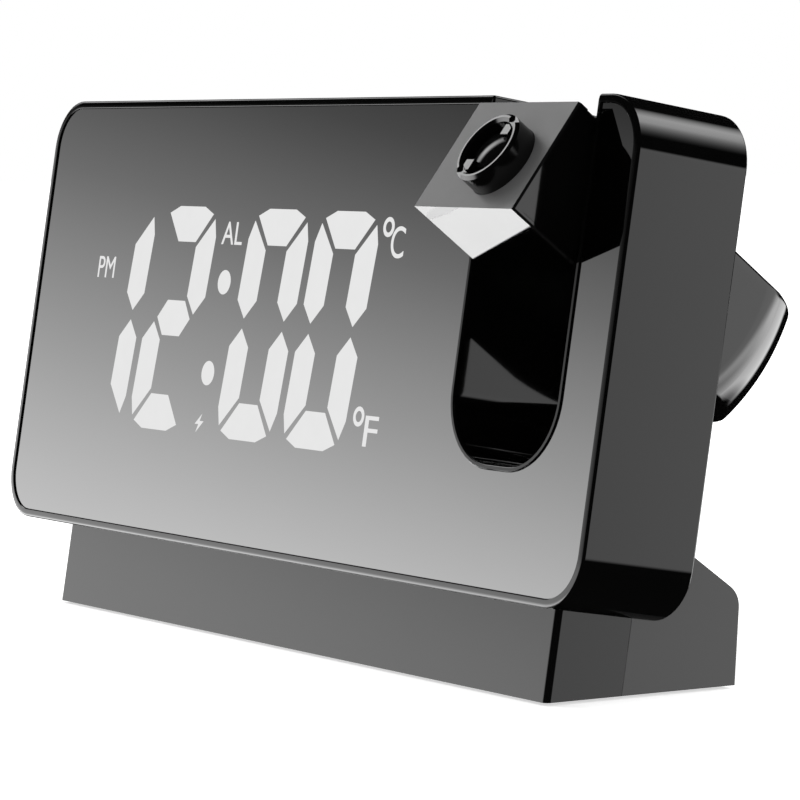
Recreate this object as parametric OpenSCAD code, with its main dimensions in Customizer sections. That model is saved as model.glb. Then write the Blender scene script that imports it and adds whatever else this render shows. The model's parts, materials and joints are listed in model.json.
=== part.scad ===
// Projection alarm clock: a leaning case with a mirrored front, a projector arm that turns
// in a slot through the case, and a two-part stand that holds the backup cells.
//
// Millimetres. +Z is up, the clock faces -Y, and +X is to the right of someone who reads it.
// The origin is on the ground, under the middle of the whole clock.
//
// Case frame: x across, y back from the front rim, z up along the leaning face.
// Arm frame: x across, y from the pivot towards the tail, z square to both. The lens looks to -y.

/* [Case] */
// Width of the case
case_w = 190; // [176:1:220]
// Height of the case along its leaning face
case_h = 80.4; // [78:0.2:96]
// Depth of the case from the front rim to the back cover
case_d = 21.5; // [21.5:0.5:27]
// Radius of the case's corners, seen from the front
case_r = 9; // [6:0.5:12]
// Thickness of the case's side walls
case_wall = 1.8; // [1.4:0.1:2.2]
// Thickness of the case's front wall, behind the panel
front_wall = 1.6; // [1.2:0.1:2]
// Angle at which the case leans back
case_lean = 9.2; // [6:0.2:12]
// Height of the case's front lower edge above the ground
case_lift = 16.4; // [14:0.1:20]
// Thickness of the back cover
cover_t = 1.8; // [1.4:0.1:2.2]

/* [Front panel] */
// Thickness of the mirror panel
panel_t = 1.5; // [1:0.1:2]
// Depth of the panel's face behind the front rim
panel_set = 0.3; // [0.1:0.1:0.6]
// Width of the case rim that shows round the panel
rim_w = 1.4; // [0.8:0.1:1.6]

/* [Display] */
// Width of one digit
digit_w = 20.1; // [17:0.1:21]
// Height of one digit
digit_h = 41.1; // [34:0.1:43]
// Width of a digit's strokes
stroke = 6.5; // [5:0.1:6.8]
// Gap between neighbouring segments
seg_gap = 0.9; // [0.6:0.1:1.1]
// Cut across a digit's outer corners
seg_cut = 1.3; // [0.8:0.1:1.8]
// Sideways lean of the digits for each unit of height
slant = 0.085; // [0:0.005:0.12]
// Distance from one digit to the next
digit_pitch = 22.4; // [21.6:0.1:23]
// Extra distance between the hours and the minutes
colon_space = 9.2; // [7:0.1:10.4]
// Radius of the colon's two dots
dot_r = 2.2; // [1.8:0.1:2.6]
// Distance from the middle between the case's left side and the slot, left to the colon
display_shift = 4.05; // [3.4:0.05:4.6]

/* [Projector slot] */
// Clear width of the slot for the projector arm
slot_w = 28.9; // [27:0.1:30]
// Distance from the slot to the case's right side
slot_side = 12.2; // [11.5:0.1:14]
// Depth of the slot below the case's top
slot_h = 59.4; // [56:0.2:62]
// Radius of the slot's two lower corners
slot_r = 11.5; // [8:0.5:13]
// Thickness of the slot's walls
slot_wall = 1.6; // [1.2:0.1:2]
// Width of the slot's rim that stands level with the case rim
slot_rim = 0.8; // [0.5:0.1:1.1]

/* [Projector arm] */
// Gap between the arm and each slot wall
arm_gap = 0.5; // [0.3:0.1:0.8]
// Thickness of the arm
arm_t = 20.8; // [20:0.1:21]
// Height of the arm's middle plane from the pivot's axis
arm_mid = -1; // [-1.2:0.1:-0.4]
// Distance from the pivot to the lens face
arm_reach = 21.8; // [21:0.1:25]
// Depth of the pivot below the case's top
pivot_drop = 20.4; // [20:0.1:24]
// Gap between the arm's tail and the slot's bottom when the lens looks up
tail_gap = 0.5; // [0.4:0.1:1.5]
// Thickness of the arm's walls
arm_wall = 1.5; // [1.2:0.1:1.6]
// Angle of the arm above the case's forward normal at rest
arm_lift = 28.2; // [0:0.2:60]
// Thickness of the plate at the lens end
face_t = 2; // [1.6:0.1:2.4]
// Length of the lens plate's lip along the underside of the arm
lip_len = 17; // [12:0.5:19]
// Radius of the pivot pins
pin_r = 3; // [2.4:0.1:3.2]

/* [Lens] */
// Sideways place of the lens axis on the arm
lens_x = 3.3; // [2.4:0.1:3.4]
// Height of the lens axis from the arm's middle plane
lens_z = -1.3; // [-1.6:0.1:0.4]
// Outer radius of the focus ring
ring_r = 6.5; // [6.2:0.1:6.9]
// Wall of the focus ring
ring_wall = 1.4; // [1.2:0.1:1.8]
// Length of the focus ring in front of the arm
ring_out = 4.1; // [3.5:0.1:6]
// Depth of the lens cell behind the ring's front
cell_set = 2; // [1.4:0.1:2.4]

/* [Stand] */
// Width of the stand
stand_w = 161.4; // [150:1:175]
// Distance of the stand's front behind the case rim
stand_set = 7; // [6:0.2:8]
// Thickness of the stand's walls
stand_wall = 1.8; // [1.4:0.1:2.2]
// Depth of the stand on the ground
stand_d = 37.4; // [37:0.2:44]
// Height of the rear block's back wall
block_h = 15.3; // [15:0.1:18]
// Lean of the rear block's back wall
block_lean = 3.6; // [0:0.2:6]
// Height of the rear block on the case's back
block_top = 16; // [15:0.2:19]
// Radius of the rear block's back corner
block_r = 4; // [2.5:0.5:5]
// Thickness of the base plate
plate_t = 2; // [1.8:0.1:2.4]
// Height of the stand's edges above the ground, on its rubber feet
foot_h = 0.5; // [0.3:0.1:1]
// Radius of the rubber feet
foot_r = 5; // [4:0.5:5.5]

/* [Buttons and cells] */
// Radius of the rear buttons
button_r = 3.6; // [3:0.1:4.2]
// Distance from one rear button to the next
button_pitch = 18; // [14:0.5:20]
// Travel of the rear buttons
button_travel = 0.6; // [0.4:0.1:0.7]
// Length of the snooze bar
snooze_w = 56; // [40:1:70]
// Depth of the snooze bar
snooze_d = 9; // [7:0.5:10]
// Travel of the snooze bar
snooze_travel = 0.8; // [0.5:0.1:1]
// Radius of a backup cell
cell_r = 5.25; // [5:0.05:5.25]
// Length of a backup cell
cell_len = 44.5; // [42:0.5:45]

/* [Hidden] */
$fn = 64;
// Running clearance of a pin in its bore, gap of a fixed joint, and overlap of a cutter
run = 0.06;
fit = 0.1;
over = 1;

// Panel, slot and case
panel_back = panel_set + panel_t;
wall_back = panel_back + front_wall;
cover_y = case_d - cover_t;
slot_x = case_w / 2 - slot_side - slot_w / 2;
slot_z = case_h - slot_h;

// Arm and pivot
arm_w = slot_w - 2 * arm_gap;
arm_tail = slot_h - pivot_drop - tail_gap;
arm_tail_r = slot_r - arm_gap;
pivot_y = case_d / 2 - arm_mid;
pivot_z = case_h - pivot_drop;
arm_under = arm_mid - arm_t / 2;
arm_over = arm_mid + arm_t / 2;
lens_up = arm_mid + lens_z;
hub_t = 1.6;
hub_r = pin_r + 3;
washer_t = 0.6;
flange_t = 1.8;
pin_in = arm_w / 2 - arm_wall - 1.2;
pin_flat = 2.2;
hub_out = slot_w / 2 + slot_wall + hub_t;
pin_out = hub_out + washer_t + fit;

// Optics, along the lens axis
face_y = -arm_reach + face_t;
flange_r = ring_r + 0.6;
ring_chamfer = 0.5;
lip_t = 0.8;
lip_side = 0.4;
notch_w = 2.4;
notch_d = 0.7;
notch_turn = -60;
ring_end = face_y + 1.3;
cell_out_r = ring_r - ring_wall - 0.08;
cell_bore_r = cell_out_r - 0.9;
tube_r = ring_r + 0.6;
tube_y = ring_end + 0.2;
tube_bore_r = tube_r - 1.1;
key_w = 2;
key_r = tube_bore_r - 0.1;
shelf_y = tube_y + 7.4;
shelf_t = 3;
lcd_y = shelf_y + shelf_t;
lcd_t = 1.2;
spacer_t = 2.8;
condenser_t = 2.6;
led_r = 1.3;
led_len = 1.4;
led_gap = 0.9;
tube_end = lcd_y + lcd_t + spacer_t + condenser_t + led_gap + led_r + led_len;
board_t = 1.6;
small_board_t = 1.2;
rib_t = 1.4;
rib_y = [tube_y + 3.5, tube_end - 4];

// Stand, in the frame of the ground before the origin is moved under the clock's middle
function case_pt(y, z) = [
    y * cos(case_lean) + z * sin(case_lean),
    case_lift - y * sin(case_lean) + z * cos(case_lean)
];
function along_z(y, h) = (h - case_lift + y * sin(case_lean)) / cos(case_lean);
stand_front_y = case_pt(stand_set, along_z(stand_set, foot_h))[0];
stand_back_y = stand_front_y + stand_d;
function block_back_y(h) = stand_back_y + (h - foot_h) * tan(block_lean);
function case_back_y(h) = case_pt(case_d, along_z(case_d, h))[0];
deep = -6;
plate_z = foot_h + plate_t;
half_in = stand_w / 2 - stand_wall;
plate_front = case_pt(stand_set + stand_wall, along_z(stand_set + stand_wall, plate_z))[0] + fit;
plate_rear = stand_back_y - stand_wall / cos(block_lean) - fit;

// Cells
cell_gap = 1.4;
spring_len = 5.4;
contact_t = 0.5;
cell_end = cell_gap + cell_len;
tray_in = cell_end + spring_len + contact_t;
tray_wall = 1.6;
ear = 5;
ear_t = 1.6;
tray_half = tray_in + tray_wall;
cell_z = plate_z + 0.7 + cell_r;
tray_top = cell_z + cell_r + 1.4;
cell_y = (case_back_y(cell_z) + block_back_y(cell_z)) / 2;
tray_d = cell_r + 1.75;
door_half = tray_half + 0.3;
door_front = cell_y - cell_r - 2.6;
tongue = 1.2;

// Middle of the clock from front to back, at rest
lens_rise = arm_lift + case_lean;
pivot_pt = case_pt(pivot_y, pivot_z);
function arm_y(along, up) = pivot_pt[0] - along * cos(lens_rise) + up * sin(lens_rise);
ring_front = min(
    arm_y(arm_reach + ring_out, lens_up - ring_r + ring_chamfer),
    arm_y(arm_reach + ring_out - ring_chamfer, lens_up - ring_r)
);
arm_front = arm_y(arm_reach, arm_under);
tail_back = pivot_pt[0] + arm_tail * cos(lens_rise - asin(arm_over / arm_tail));
origin_y = (min(0, ring_front, arm_front) + max(tail_back, block_back_y(block_h))) / 2;

// Display: its middle, the window in the front wall, and the boxes of the small signs beside
// the digits, each [x, z, half width, half height] from the display's middle
display_x = (slot_x - slot_w / 2 - case_w / 2) / 2 - display_shift;
display_z = case_h / 2;
half_w = digit_w / 2;
half_h = digit_h / 2;
function digit_x(i) = (i - 1.5) * digit_pitch + (i < 2 ? -1 : 1) * colon_space / 2;
display_reach = digit_x(3) + half_w + slant * half_h;
sign_room = 11;
window_margin = 3.6;
board_margin = 6.1;
window = [
    display_x - display_reach - fit,
    display_z - half_h - window_margin,
    display_x + display_reach + sign_room,
    display_z + half_h + window_margin
];
sign_w = 4.6;
indicators = [
    [digit_x(0) - stroke + 1.6, half_h * 0.41, sign_w, 2.3],
    [1.2, half_h * 0.79, 4, 2.3],
    [digit_x(3) + digit_w / 2 + 5.9, half_h * 0.8, sign_w, 3.6],
    [digit_x(3) + digit_w / 2 + 5, -half_h * 0.79, sign_w, 3.6],
    [-1.5, -half_h * 0.9, 2, 2.1]
];

// Rear buttons, switches and board
board_y = 9.4;
board_back = board_y + board_t;
board_x0 = window[0] - 0.4;
board_x1 = slot_x - slot_w / 2 - slot_wall - 7;
board_z0 = window[1] - board_margin;
board_z1 = window[3] + board_margin;
switch_w = 6;
switch_h = 3.5;
plunger_r = 1.7;
plunger_len = 3.2;
plunger_out = 1.7;
button_z = window[3] - 6.5;
button_out = 0.8;
button_mid = display_x - 1;
function button_x(i) = button_mid + (i - 2) * button_pitch;
snooze_x = display_x + 8;
snooze_y = 12.5;
snooze_flange = 1;
snooze_foot = board_z1 + plunger_out;
plunger_top = board_back + switch_h + plunger_out;

// What stands on the main board, and the openings for it in the back cover
mask_y = panel_back + fit;
led_t = 0.6;
buzzer_x = board_x1 - 34.5;
buzzer_z = window[1] + 9.4;
sensor_x = board_x0 - 5.5;
sensor_z = display_z;
inlet_x = board_x1 - 10.5;
inlet_z = window[1] + 10.3;
inlet_w = 8.9;
inlet_h = 3.2;
inlet_wall = 0.35;

// Screws: [x, z] of the back cover's and of the main board's
screw_r = 1;
head_r = 2.2;
head_t = 0.8;
boss_r = 2.6;
cover_x = [-case_w / 2 + 8.5, board_x1 + 3.7, case_w / 2 - 6.2];
cover_z = [9.5, case_h - 9];
board_screw_x = [board_x0 + 6, board_x1 - 5];
board_screw_z = [board_z0 + 2.7, board_z1 - 2.7];
case_screw_x = [for (s = [-1 : 1]) s * (stand_w / 2 - 20.7)];
case_screw_y = (stand_set + case_d) / 2;
post_r = 2.8;
base_screw = [for (s = [-1, 1])
    each [
        [s * (half_in - 33), (plate_front + case_back_y(plate_z)) / 2],
        [s * (half_in - 7), case_back_y(plate_z) + stand_wall + post_r + 2.6]
    ]
];
foot_at = [for (s = [-1, 1], y = [plate_front + foot_r + 2, plate_rear - foot_r - 0.7])
    [s * (half_in - foot_r - 6), y]
];

// ---------------------------------------------------------------- frames and shared shapes

module in_case() {
    translate([0, -origin_y, case_lift]) rotate([-case_lean, 0, 0]) children();
}

module in_arm() {
    in_case() translate([slot_x, pivot_y, pivot_z]) rotate([-arm_lift, 0, 0]) children();
}

module on_ground() {
    translate([0, -origin_y, 0]) children();
}

// A flat shape in x and z, as a slab that starts at y0 and is t thick
module slab(y0, t) {
    translate([0, y0 + t, 0]) rotate([90, 0, 0]) linear_extrude(t) children();
}

module rod_x(r, x0, x1) {
    translate([x0, 0, 0]) rotate([0, 90, 0]) cylinder(r = r, h = x1 - x0);
}

module rod_y(r, y0, y1) {
    translate([0, y1, 0]) rotate([90, 0, 0]) cylinder(r = r, h = y1 - y0);
}

function box2(x0, z0, x1, z1) = [[x0, z0], [x1, z0], [x1, z1], [x0, z1]];
function heading(a, b) = (b - a) / norm(b - a);
function turned(u) = [-u[1], u[0]];
function before(p, i) = heading(p[(i + len(p) - 1) % len(p)], p[i]);
function after(p, i) = heading(p[i], p[(i + 1) % len(p)]);
// Corner i of an anticlockwise outline, moved inwards by d from both of its edges
function inner_corner(p, i, d) =
    let (u = before(p, i), v = after(p, i))
    p[i] + (turned(u) + turned(v)) * d / (1 + u * v);
function inset(p, d) = [for (i = [0 : len(p) - 1]) inner_corner(p, i, d)];

// An anticlockwise outline whose corner i is rounded to the true radius r[i]
module rounded(p, r) {
    cut = [for (i = [0 : len(p) - 1])
        let (u = before(p, i), v = after(p, i), t = r[i] * cross(u, v) / (1 + u * v))
        r[i] > 0 ? [p[i] - u * t, p[i] + v * t] : [p[i]]
    ];
    polygon([for (c = cut) each c]);
    for (i = [0 : len(p) - 1]) {
        if (r[i] > 0) translate(inner_corner(p, i, r[i])) circle(r[i]);
    }
}

module rounded_box(x0, z0, x1, z1, r) {
    rounded(box2(x0, z0, x1, z1), [r, r, r, r]);
}

// The case's outline, drawn in by d
module case_outline(d) {
    rounded_box(-case_w / 2 + d, d, case_w / 2 - d, case_h - d, case_r - d);
}

// The U of the projector slot, grown by g, open past the case's top
module slot_outline(g) {
    half = slot_w / 2 + g;
    r = slot_r + g;
    rounded(box2(slot_x - half, slot_z - g, slot_x + half, case_h + over * 2), [r, r, 0, 0]);
}

// ---------------------------------------------------------------- segments of the display

function leaned(p, x) = [for (q = p) [display_x + x + q[0] + slant * q[1], display_z + q[1]]];
function flip_x(p) = [for (i = [len(p) - 1 : -1 : 0]) [-p[i][0], p[i][1]]];
function flip_z(p) = [for (i = [len(p) - 1 : -1 : 0]) [p[i][0], -p[i][1]]];
seg_side = [
    [half_w, half_h - seg_cut - seg_gap - stroke / 2],
    [half_w - seg_cut, half_h - seg_cut - seg_gap],
    [half_w - stroke, half_h - stroke - seg_gap],
    [half_w - stroke, stroke / 2 + seg_gap],
    [half_w - stroke / 2, seg_gap],
    [half_w, stroke / 2 + seg_gap]
];
seg_top = [
    [half_w - stroke + seg_gap, half_h],
    [-half_w + stroke - seg_gap, half_h],
    [-half_w + seg_cut + seg_gap, half_h - seg_cut],
    [-half_w + stroke + seg_gap / 2, half_h - stroke],
    [half_w - stroke - seg_gap / 2, half_h - stroke],
    [half_w - seg_cut - seg_gap, half_h - seg_cut]
];
seg_mid = [
    [half_w - stroke / 2 - seg_gap, 0],
    [half_w - stroke - seg_gap / 2, stroke / 2],
    [-half_w + stroke + seg_gap / 2, stroke / 2],
    [-half_w + stroke / 2 + seg_gap, 0],
    [-half_w + stroke + seg_gap / 2, -stroke / 2],
    [half_w - stroke - seg_gap / 2, -stroke / 2]
];
seg_right = [seg_side, flip_z(seg_side)];
seg_all = concat(seg_right, [flip_x(seg_side), flip_x(flip_z(seg_side)), seg_top, flip_z(seg_top), seg_mid]);
segments = concat(
    [for (s = seg_right) leaned(s, digit_x(0))],
    [for (i = [1 : 3]) each [for (s = seg_all) leaned(s, digit_x(i))]]
);
dots = [for (z = [half_h * 0.35, -half_h * 0.45]) [display_x + slant * z, display_z + z]];

// The flat outline of every light cell
module light_cells() {
    for (s = segments) polygon(s);
    for (d = dots) translate(d) circle(dot_r);
    for (c = indicators) {
        x = display_x + c[0];
        z = display_z + c[1];
        polygon(box2(x - c[2], z - c[3], x + c[2], z + c[3]));
    }
}

// ---------------------------------------------------------------- case

// Everything inside the case that is moulded with it, between the front wall and y
module case_bosses(y) {
    for (x = cover_x, z = cover_z) translate([x, 0, z]) rod_y(boss_r, panel_back, y);
}

module case_shell() {
    color([0.05, 0.05, 0.055]) in_case() difference() {
        union() {
            difference() {
                slab(0, case_d) case_outline(0);
                difference() {
                    slab(-over, panel_back + over) case_outline(rim_w);
                    slab(-2 * over, case_d) slot_outline(slot_rim);
                }
                difference() {
                    slab(wall_back, case_d) case_outline(case_wall);
                    slab(panel_back, case_d) slot_outline(slot_wall);
                }
                slab(cover_y, case_d) difference() {
                    case_outline(case_wall);
                    slot_outline(slot_wall);
                }
                slab(panel_back - over, front_wall + 2 * over) polygon(box2(window[0], window[1], window[2], window[3]));
            }
            case_bosses(cover_y);
            for (x = board_screw_x, z = board_screw_z)
                translate([x, 0, z]) rod_y(boss_r, panel_back, board_y);
            for (x = case_screw_x)
                translate([x, case_screw_y, case_wall / 2]) cylinder(r = boss_r + 0.4, h = 6);
            for (s = [-1, 1])
                translate([slot_x, pivot_y, pivot_z])
                    rod_x(hub_r, s > 0 ? slot_w / 2 : -hub_out, s > 0 ? hub_out : -slot_w / 2);
        }
        slab(-over, case_d + 2 * over) slot_outline(0);
        translate([slot_x, pivot_y, pivot_z]) rod_x(pin_r + run, -hub_out - over, hub_out + over);
        for (x = cover_x, z = cover_z) translate([x, 0, z]) rod_y(screw_r, wall_back, cover_y + over);
        for (x = board_screw_x, z = board_screw_z)
            translate([x, 0, z]) rod_y(screw_r, wall_back, board_y + over);
        for (x = case_screw_x) translate([x, case_screw_y, -over]) cylinder(r = screw_r, h = 7);
        translate([snooze_x, snooze_y, case_h - case_wall - over])
            linear_extrude(case_wall + 2 * over)
                rounded_box(-snooze_w / 2 - fit, -snooze_d / 2 - fit, snooze_w / 2 + fit, snooze_d / 2 + fit, 2);
    }
}

module front_panel() {
    color([0.25, 0.25, 0.27]) in_case() slab(panel_set, panel_t) difference() {
        case_outline(rim_w + fit);
        slot_outline(slot_rim + fit);
    }
}

module back_cover() {
    color([0.07, 0.07, 0.075]) in_case() difference() {
        slab(cover_y, cover_t) difference() {
            case_outline(case_wall + fit);
            slot_outline(slot_wall + fit);
        }
        for (i = [0 : 4]) translate([button_x(i), 0, button_z]) rod_y(button_r + fit, cover_y - over, case_d + over);
        for (x = cover_x, z = cover_z) translate([x, 0, z]) {
            rod_y(screw_r + fit, cover_y - over, case_d + over);
            rod_y(head_r + fit, case_d - head_t, case_d + over);
        }
        translate([inlet_x, 0, inlet_z]) slab(cover_y - over, cover_t + 2 * over)
            rounded_box(-inlet_w / 2 - fit, -inlet_h / 2 - fit, inlet_w / 2 + fit, inlet_h / 2 + fit, inlet_h / 2);
        for (i = [0 : 5]) translate([buzzer_x - 7.5 + 3 * i, 0, buzzer_z]) slab(cover_y - over, cover_t + 2 * over)
            rounded_box(-0.7, -5, 0.7, 5, 0.69);
        for (i = [0 : 7]) translate([sensor_x, 0, sensor_z - 7 + 2.6 * i]) slab(cover_y - over, cover_t + 2 * over)
            rounded_box(-5, -0.6, 5, 0.6, 0.59);
    }
}

// ---------------------------------------------------------------- display and main board

module display_mask() {
    color([0.03, 0.03, 0.03]) in_case() slab(mask_y, board_y - led_t - mask_y - fit) difference() {
        polygon(box2(window[0] + fit, window[1] + fit, window[2] - fit, window[3] - fit));
        light_cells();
    }
}

module display_segments() {
    color([0.93, 0.93, 0.93]) in_case() slab(mask_y, 0.8) light_cells();
}

function middle(p) = [for (k = [0, 1]) (min([for (q = p) q[k]]) + max([for (q = p) q[k]])) / 2];

module display_leds() {
    at = concat(
        [for (s = segments) middle(s)], dots,
        [for (c = indicators) [display_x + c[0], display_z + c[1]]]
    );
    color([0.95, 0.93, 0.8]) in_case() for (p = at)
        translate([p[0] - 0.8, board_y - led_t, p[1] - 0.8]) cube([1.6, led_t, 1.6]);
}

module main_board() {
    color([0.05, 0.25, 0.12]) in_case() difference() {
        slab(board_y, board_t) polygon(box2(board_x0, board_z0, board_x1, board_z1));
        for (x = board_screw_x, z = board_screw_z)
            translate([x, 0, z]) rod_y(screw_r + fit, board_y - over, board_back + over);
    }
}

// Flat chip on the board's back with legs on its two long sides
module chip(x, z, w, h, legs) {
    pitch = w / legs;
    translate([x, board_back, z]) {
        translate([-w / 2, 0.15, -h / 2]) cube([w, 1.5, h]);
        for (s = [-1, 1], i = [0 : legs - 1])
            translate([-w / 2 + (i + 0.3) * pitch, 0, s > 0 ? h / 2 - 0.2 : -h / 2 - 1])
                cube([pitch * 0.4, 0.4, 1.2]);
    }
}

module clock_chips() {
    color([0.06, 0.06, 0.06]) in_case() {
        chip(display_x - 22, display_z - 2, 18, 7.5, 14);
        chip(display_x + 12, display_z - 14, 12, 5.5, 8);
    }
}

module crystal() {
    color([0.75, 0.75, 0.77]) in_case()
        translate([display_x + 2, board_back + 1.5, display_z - 2]) rod_x(1.5, -4, 4);
}

module capacitors() {
    color([0.15, 0.17, 0.35]) in_case() for (i = [0 : 2])
        translate([display_x + 32 + 8 * i, 0, display_z - 2]) rod_y(2.6, board_back, board_back + 6);
}

module buzzer() {
    color([0.06, 0.06, 0.06]) in_case() translate([buzzer_x, 0, buzzer_z]) difference() {
        rod_y(6, board_back, board_back + 5.5);
        rod_y(1, board_back + 3, board_back + 5.5 + over);
    }
}

module temperature_sensor() {
    color([0.1, 0.1, 0.1]) in_case() translate([sensor_x, board_y + board_t / 2, sensor_z]) {
        rotate([0, 0, 90]) sphere(r = 1.3);
        for (s = [-0.6, 0.6]) translate([0, 0, s]) rod_x(0.25, 0.5, board_x0 - sensor_x);
    }
}

module power_inlet() {
    color([0.75, 0.75, 0.77]) in_case() translate([inlet_x, 0, inlet_z]) {
        difference() {
            slab(board_back, case_d - 0.4 - board_back)
                rounded_box(-inlet_w / 2, -inlet_h / 2, inlet_w / 2, inlet_h / 2, inlet_h / 2 - 0.01);
            slab(board_back + 2, case_d) rounded_box(
                -inlet_w / 2 + inlet_wall, -inlet_h / 2 + inlet_wall,
                inlet_w / 2 - inlet_wall, inlet_h / 2 - inlet_wall, inlet_h / 2 - inlet_wall - 0.01
            );
        }
        slab(board_back + 2, case_d - board_back - 4) polygon(box2(-3.3, -0.35, 3.3, 0.35));
    }
}

// ---------------------------------------------------------------- buttons and switches

// Switch base on the board's back with the bore that its plunger slides in
module tact_switches() {
    color([0.12, 0.12, 0.12]) in_case() {
        for (i = [0 : 4]) translate([button_x(i), board_back, button_z]) difference() {
            translate([-switch_w / 2, 0, -switch_w / 2]) cube([switch_w, switch_h, switch_w]);
            rod_y(plunger_r + run, switch_h - plunger_len + plunger_out - button_travel - fit, switch_h + over);
        }
        translate([snooze_x, snooze_y + 1.5, board_z1 - switch_h]) difference() {
            translate([-switch_w / 2, -switch_w / 2, 0]) cube([switch_w, switch_w, switch_h]);
            translate([0, 0, switch_h - plunger_len + plunger_out - snooze_travel - fit])
                cylinder(r = plunger_r + run, h = plunger_len + over);
        }
    }
}

module button_plunger(i) {
    color([0.8, 0.78, 0.7]) in_case()
        translate([button_x(i), 0, button_z]) rod_y(plunger_r, plunger_top - plunger_len, plunger_top);
}

// Round cap with the flange that keeps it behind the cover and the stem that meets its plunger
module rear_button(i) {
    color([0.12, 0.12, 0.125]) in_case() translate([button_x(i), 0, button_z]) {
        rod_y(button_r, cover_y - 1.2, case_d + button_out);
        rod_y(button_r + 1, cover_y - 1.3, cover_y - fit);
        rod_y(2, plunger_top, cover_y - 1.2);
    }
}

module snooze_plunger() {
    color([0.8, 0.78, 0.7]) in_case()
        translate([snooze_x, snooze_y + 1.5, snooze_foot - plunger_len]) cylinder(r = plunger_r, h = plunger_len);
}

module snooze_bar() {
    under = case_h - case_wall - fit;
    color([0.09, 0.09, 0.095]) in_case() translate([snooze_x, snooze_y, 0]) {
        translate([0, 0, under - 1]) linear_extrude(case_h - under + 1)
            rounded_box(-snooze_w / 2, -snooze_d / 2, snooze_w / 2, snooze_d / 2, 1.9);
        translate([0, 0, under - 1.2]) linear_extrude(1.2)
            rounded_box(
                -snooze_w / 2 - snooze_flange, -snooze_d / 2 - snooze_flange,
                snooze_w / 2 + snooze_flange, snooze_d / 2 + snooze_flange, 2.5
            );
        translate([0, 1.5, snooze_foot]) cylinder(r = 2, h = under - 1.1 - snooze_foot);
    }
}

// ---------------------------------------------------------------- screws

// Pan-head screw along y, its head's top at y1
module screw_y(y1, length) {
    rod_y(head_r, y1 - head_t, y1);
    rod_y(screw_r, y1 - head_t - length, y1 - head_t);
}

module cover_screws() {
    color([0.6, 0.6, 0.62]) in_case() for (x = cover_x, z = cover_z) translate([x, 0, z]) screw_y(case_d, 7);
}

module board_screws() {
    color([0.6, 0.6, 0.62]) in_case() for (x = board_screw_x, z = board_screw_z)
        translate([x, 0, z]) screw_y(board_back + head_t, 5);
}

module case_screws() {
    color([0.6, 0.6, 0.62]) in_case() for (x = case_screw_x)
        translate([x, case_screw_y, -stand_wall]) {
            translate([0, 0, -head_t]) cylinder(r = head_r, h = head_t);
            cylinder(r = screw_r, h = 7);
        }
}

// ---------------------------------------------------------------- stand

module above_ground(h) {
    on_ground() translate([-case_w, -case_w, h]) cube([2 * case_w, 3 * case_w, case_w]);
}

// Space of the base plate, grown by g
module plate_space(g) {
    on_ground() translate([-half_in + fit - g, plate_front - g, foot_h - over])
        cube([2 * (half_in - fit + g), plate_rear - plate_front + 2 * g, plate_t + over + g]);
}

// Space of the battery door and its way out to the back, grown by g
module door_space(g) {
    on_ground() {
        translate([-door_half - g, door_front - g, foot_h - over])
            cube([2 * (door_half + g), stand_d, plate_t + over + g]);
        translate([-door_half - tongue - g, door_front - g, foot_h + 0.6 - g])
            cube([2 * (door_half + tongue + g), stand_d, 0.8 + 2 * g]);
    }
}

// Screw posts that stand on the base plate
module stand_posts(row) {
    on_ground() for (i = [row, row + 2])
        translate([base_screw[i][0], base_screw[i][1], plate_z]) cylinder(r = post_r, h = case_lift);
}

module stand_post_bores(row) {
    on_ground() for (i = [row, row + 2])
        translate([base_screw[i][0], base_screw[i][1], 0]) cylinder(r = screw_r, h = plate_z + 6.5);
}

module front_block(d) {
    half = stand_w / 2 - d;
    in_case() translate([0, 0, deep * 4]) linear_extrude(-deep * 4 - d)
        rounded(box2(-half, stand_set + d, half, case_d - d), [1, 1, 0, 0]);
}

module stand_front() {
    color([0.16, 0.16, 0.17]) intersection() {
        above_ground(foot_h);
        difference() {
            union() {
                difference() {
                    front_block(0);
                    front_block(stand_wall);
                }
                intersection() {
                    front_block(0);
                    stand_posts(0);
                }
            }
            plate_space(fit);
            stand_post_bores(0);
            in_case() for (x = case_screw_x)
                translate([x, case_screw_y, -stand_wall - over]) cylinder(r = screw_r + fit, h = stand_wall + 2 * over);
        }
    }
}

// Side view of the rear block, from height h up: under the case's back, back wall, sloped roof
function block_side(h) = [
    [case_back_y(h), h], [block_back_y(h), h], [block_back_y(block_h), block_h], case_pt(case_d, block_top)
];

module block_solid(p, r, half) {
    on_ground() rotate([90, 0, 90]) translate([0, 0, -half]) linear_extrude(2 * half) rounded(p, [0, 0, r, 0]);
}

module stand_rear() {
    color([0.2, 0.2, 0.21]) difference() {
        union() {
            difference() {
                block_solid(block_side(foot_h), block_r, stand_w / 2);
                block_solid(inset(block_side(deep), stand_wall), block_r - stand_wall, half_in);
            }
            intersection() {
                block_solid(block_side(foot_h), block_r, stand_w / 2);
                stand_posts(1);
            }
        }
        plate_space(fit);
        door_space(fit);
        stand_post_bores(1);
    }
}

module base_plate() {
    color([0.1, 0.1, 0.1]) difference() {
        intersection() {
            plate_space(0);
            above_ground(foot_h);
        }
        door_space(fit);
        on_ground() {
            for (p = foot_at) translate([p[0], p[1], 0]) cylinder(r = foot_r + 0.05, h = foot_h + 0.8);
            for (p = base_screw) translate([p[0], p[1], 0]) {
                cylinder(r = screw_r + fit, h = plate_z + over);
                cylinder(r = head_r + fit, h = foot_h + head_t + 0.1);
            }
        }
    }
}

module base_screws() {
    color([0.6, 0.6, 0.62]) on_ground() for (p = base_screw) translate([p[0], p[1], foot_h + 0.1]) {
        cylinder(r = head_r, h = head_t);
        cylinder(r = screw_r, h = 7.5);
    }
}

module rubber_feet() {
    color([0.03, 0.03, 0.03]) on_ground()
        for (p = foot_at) translate([p[0], p[1], 0]) cylinder(r = foot_r, h = foot_h + 0.8);
}

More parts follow.
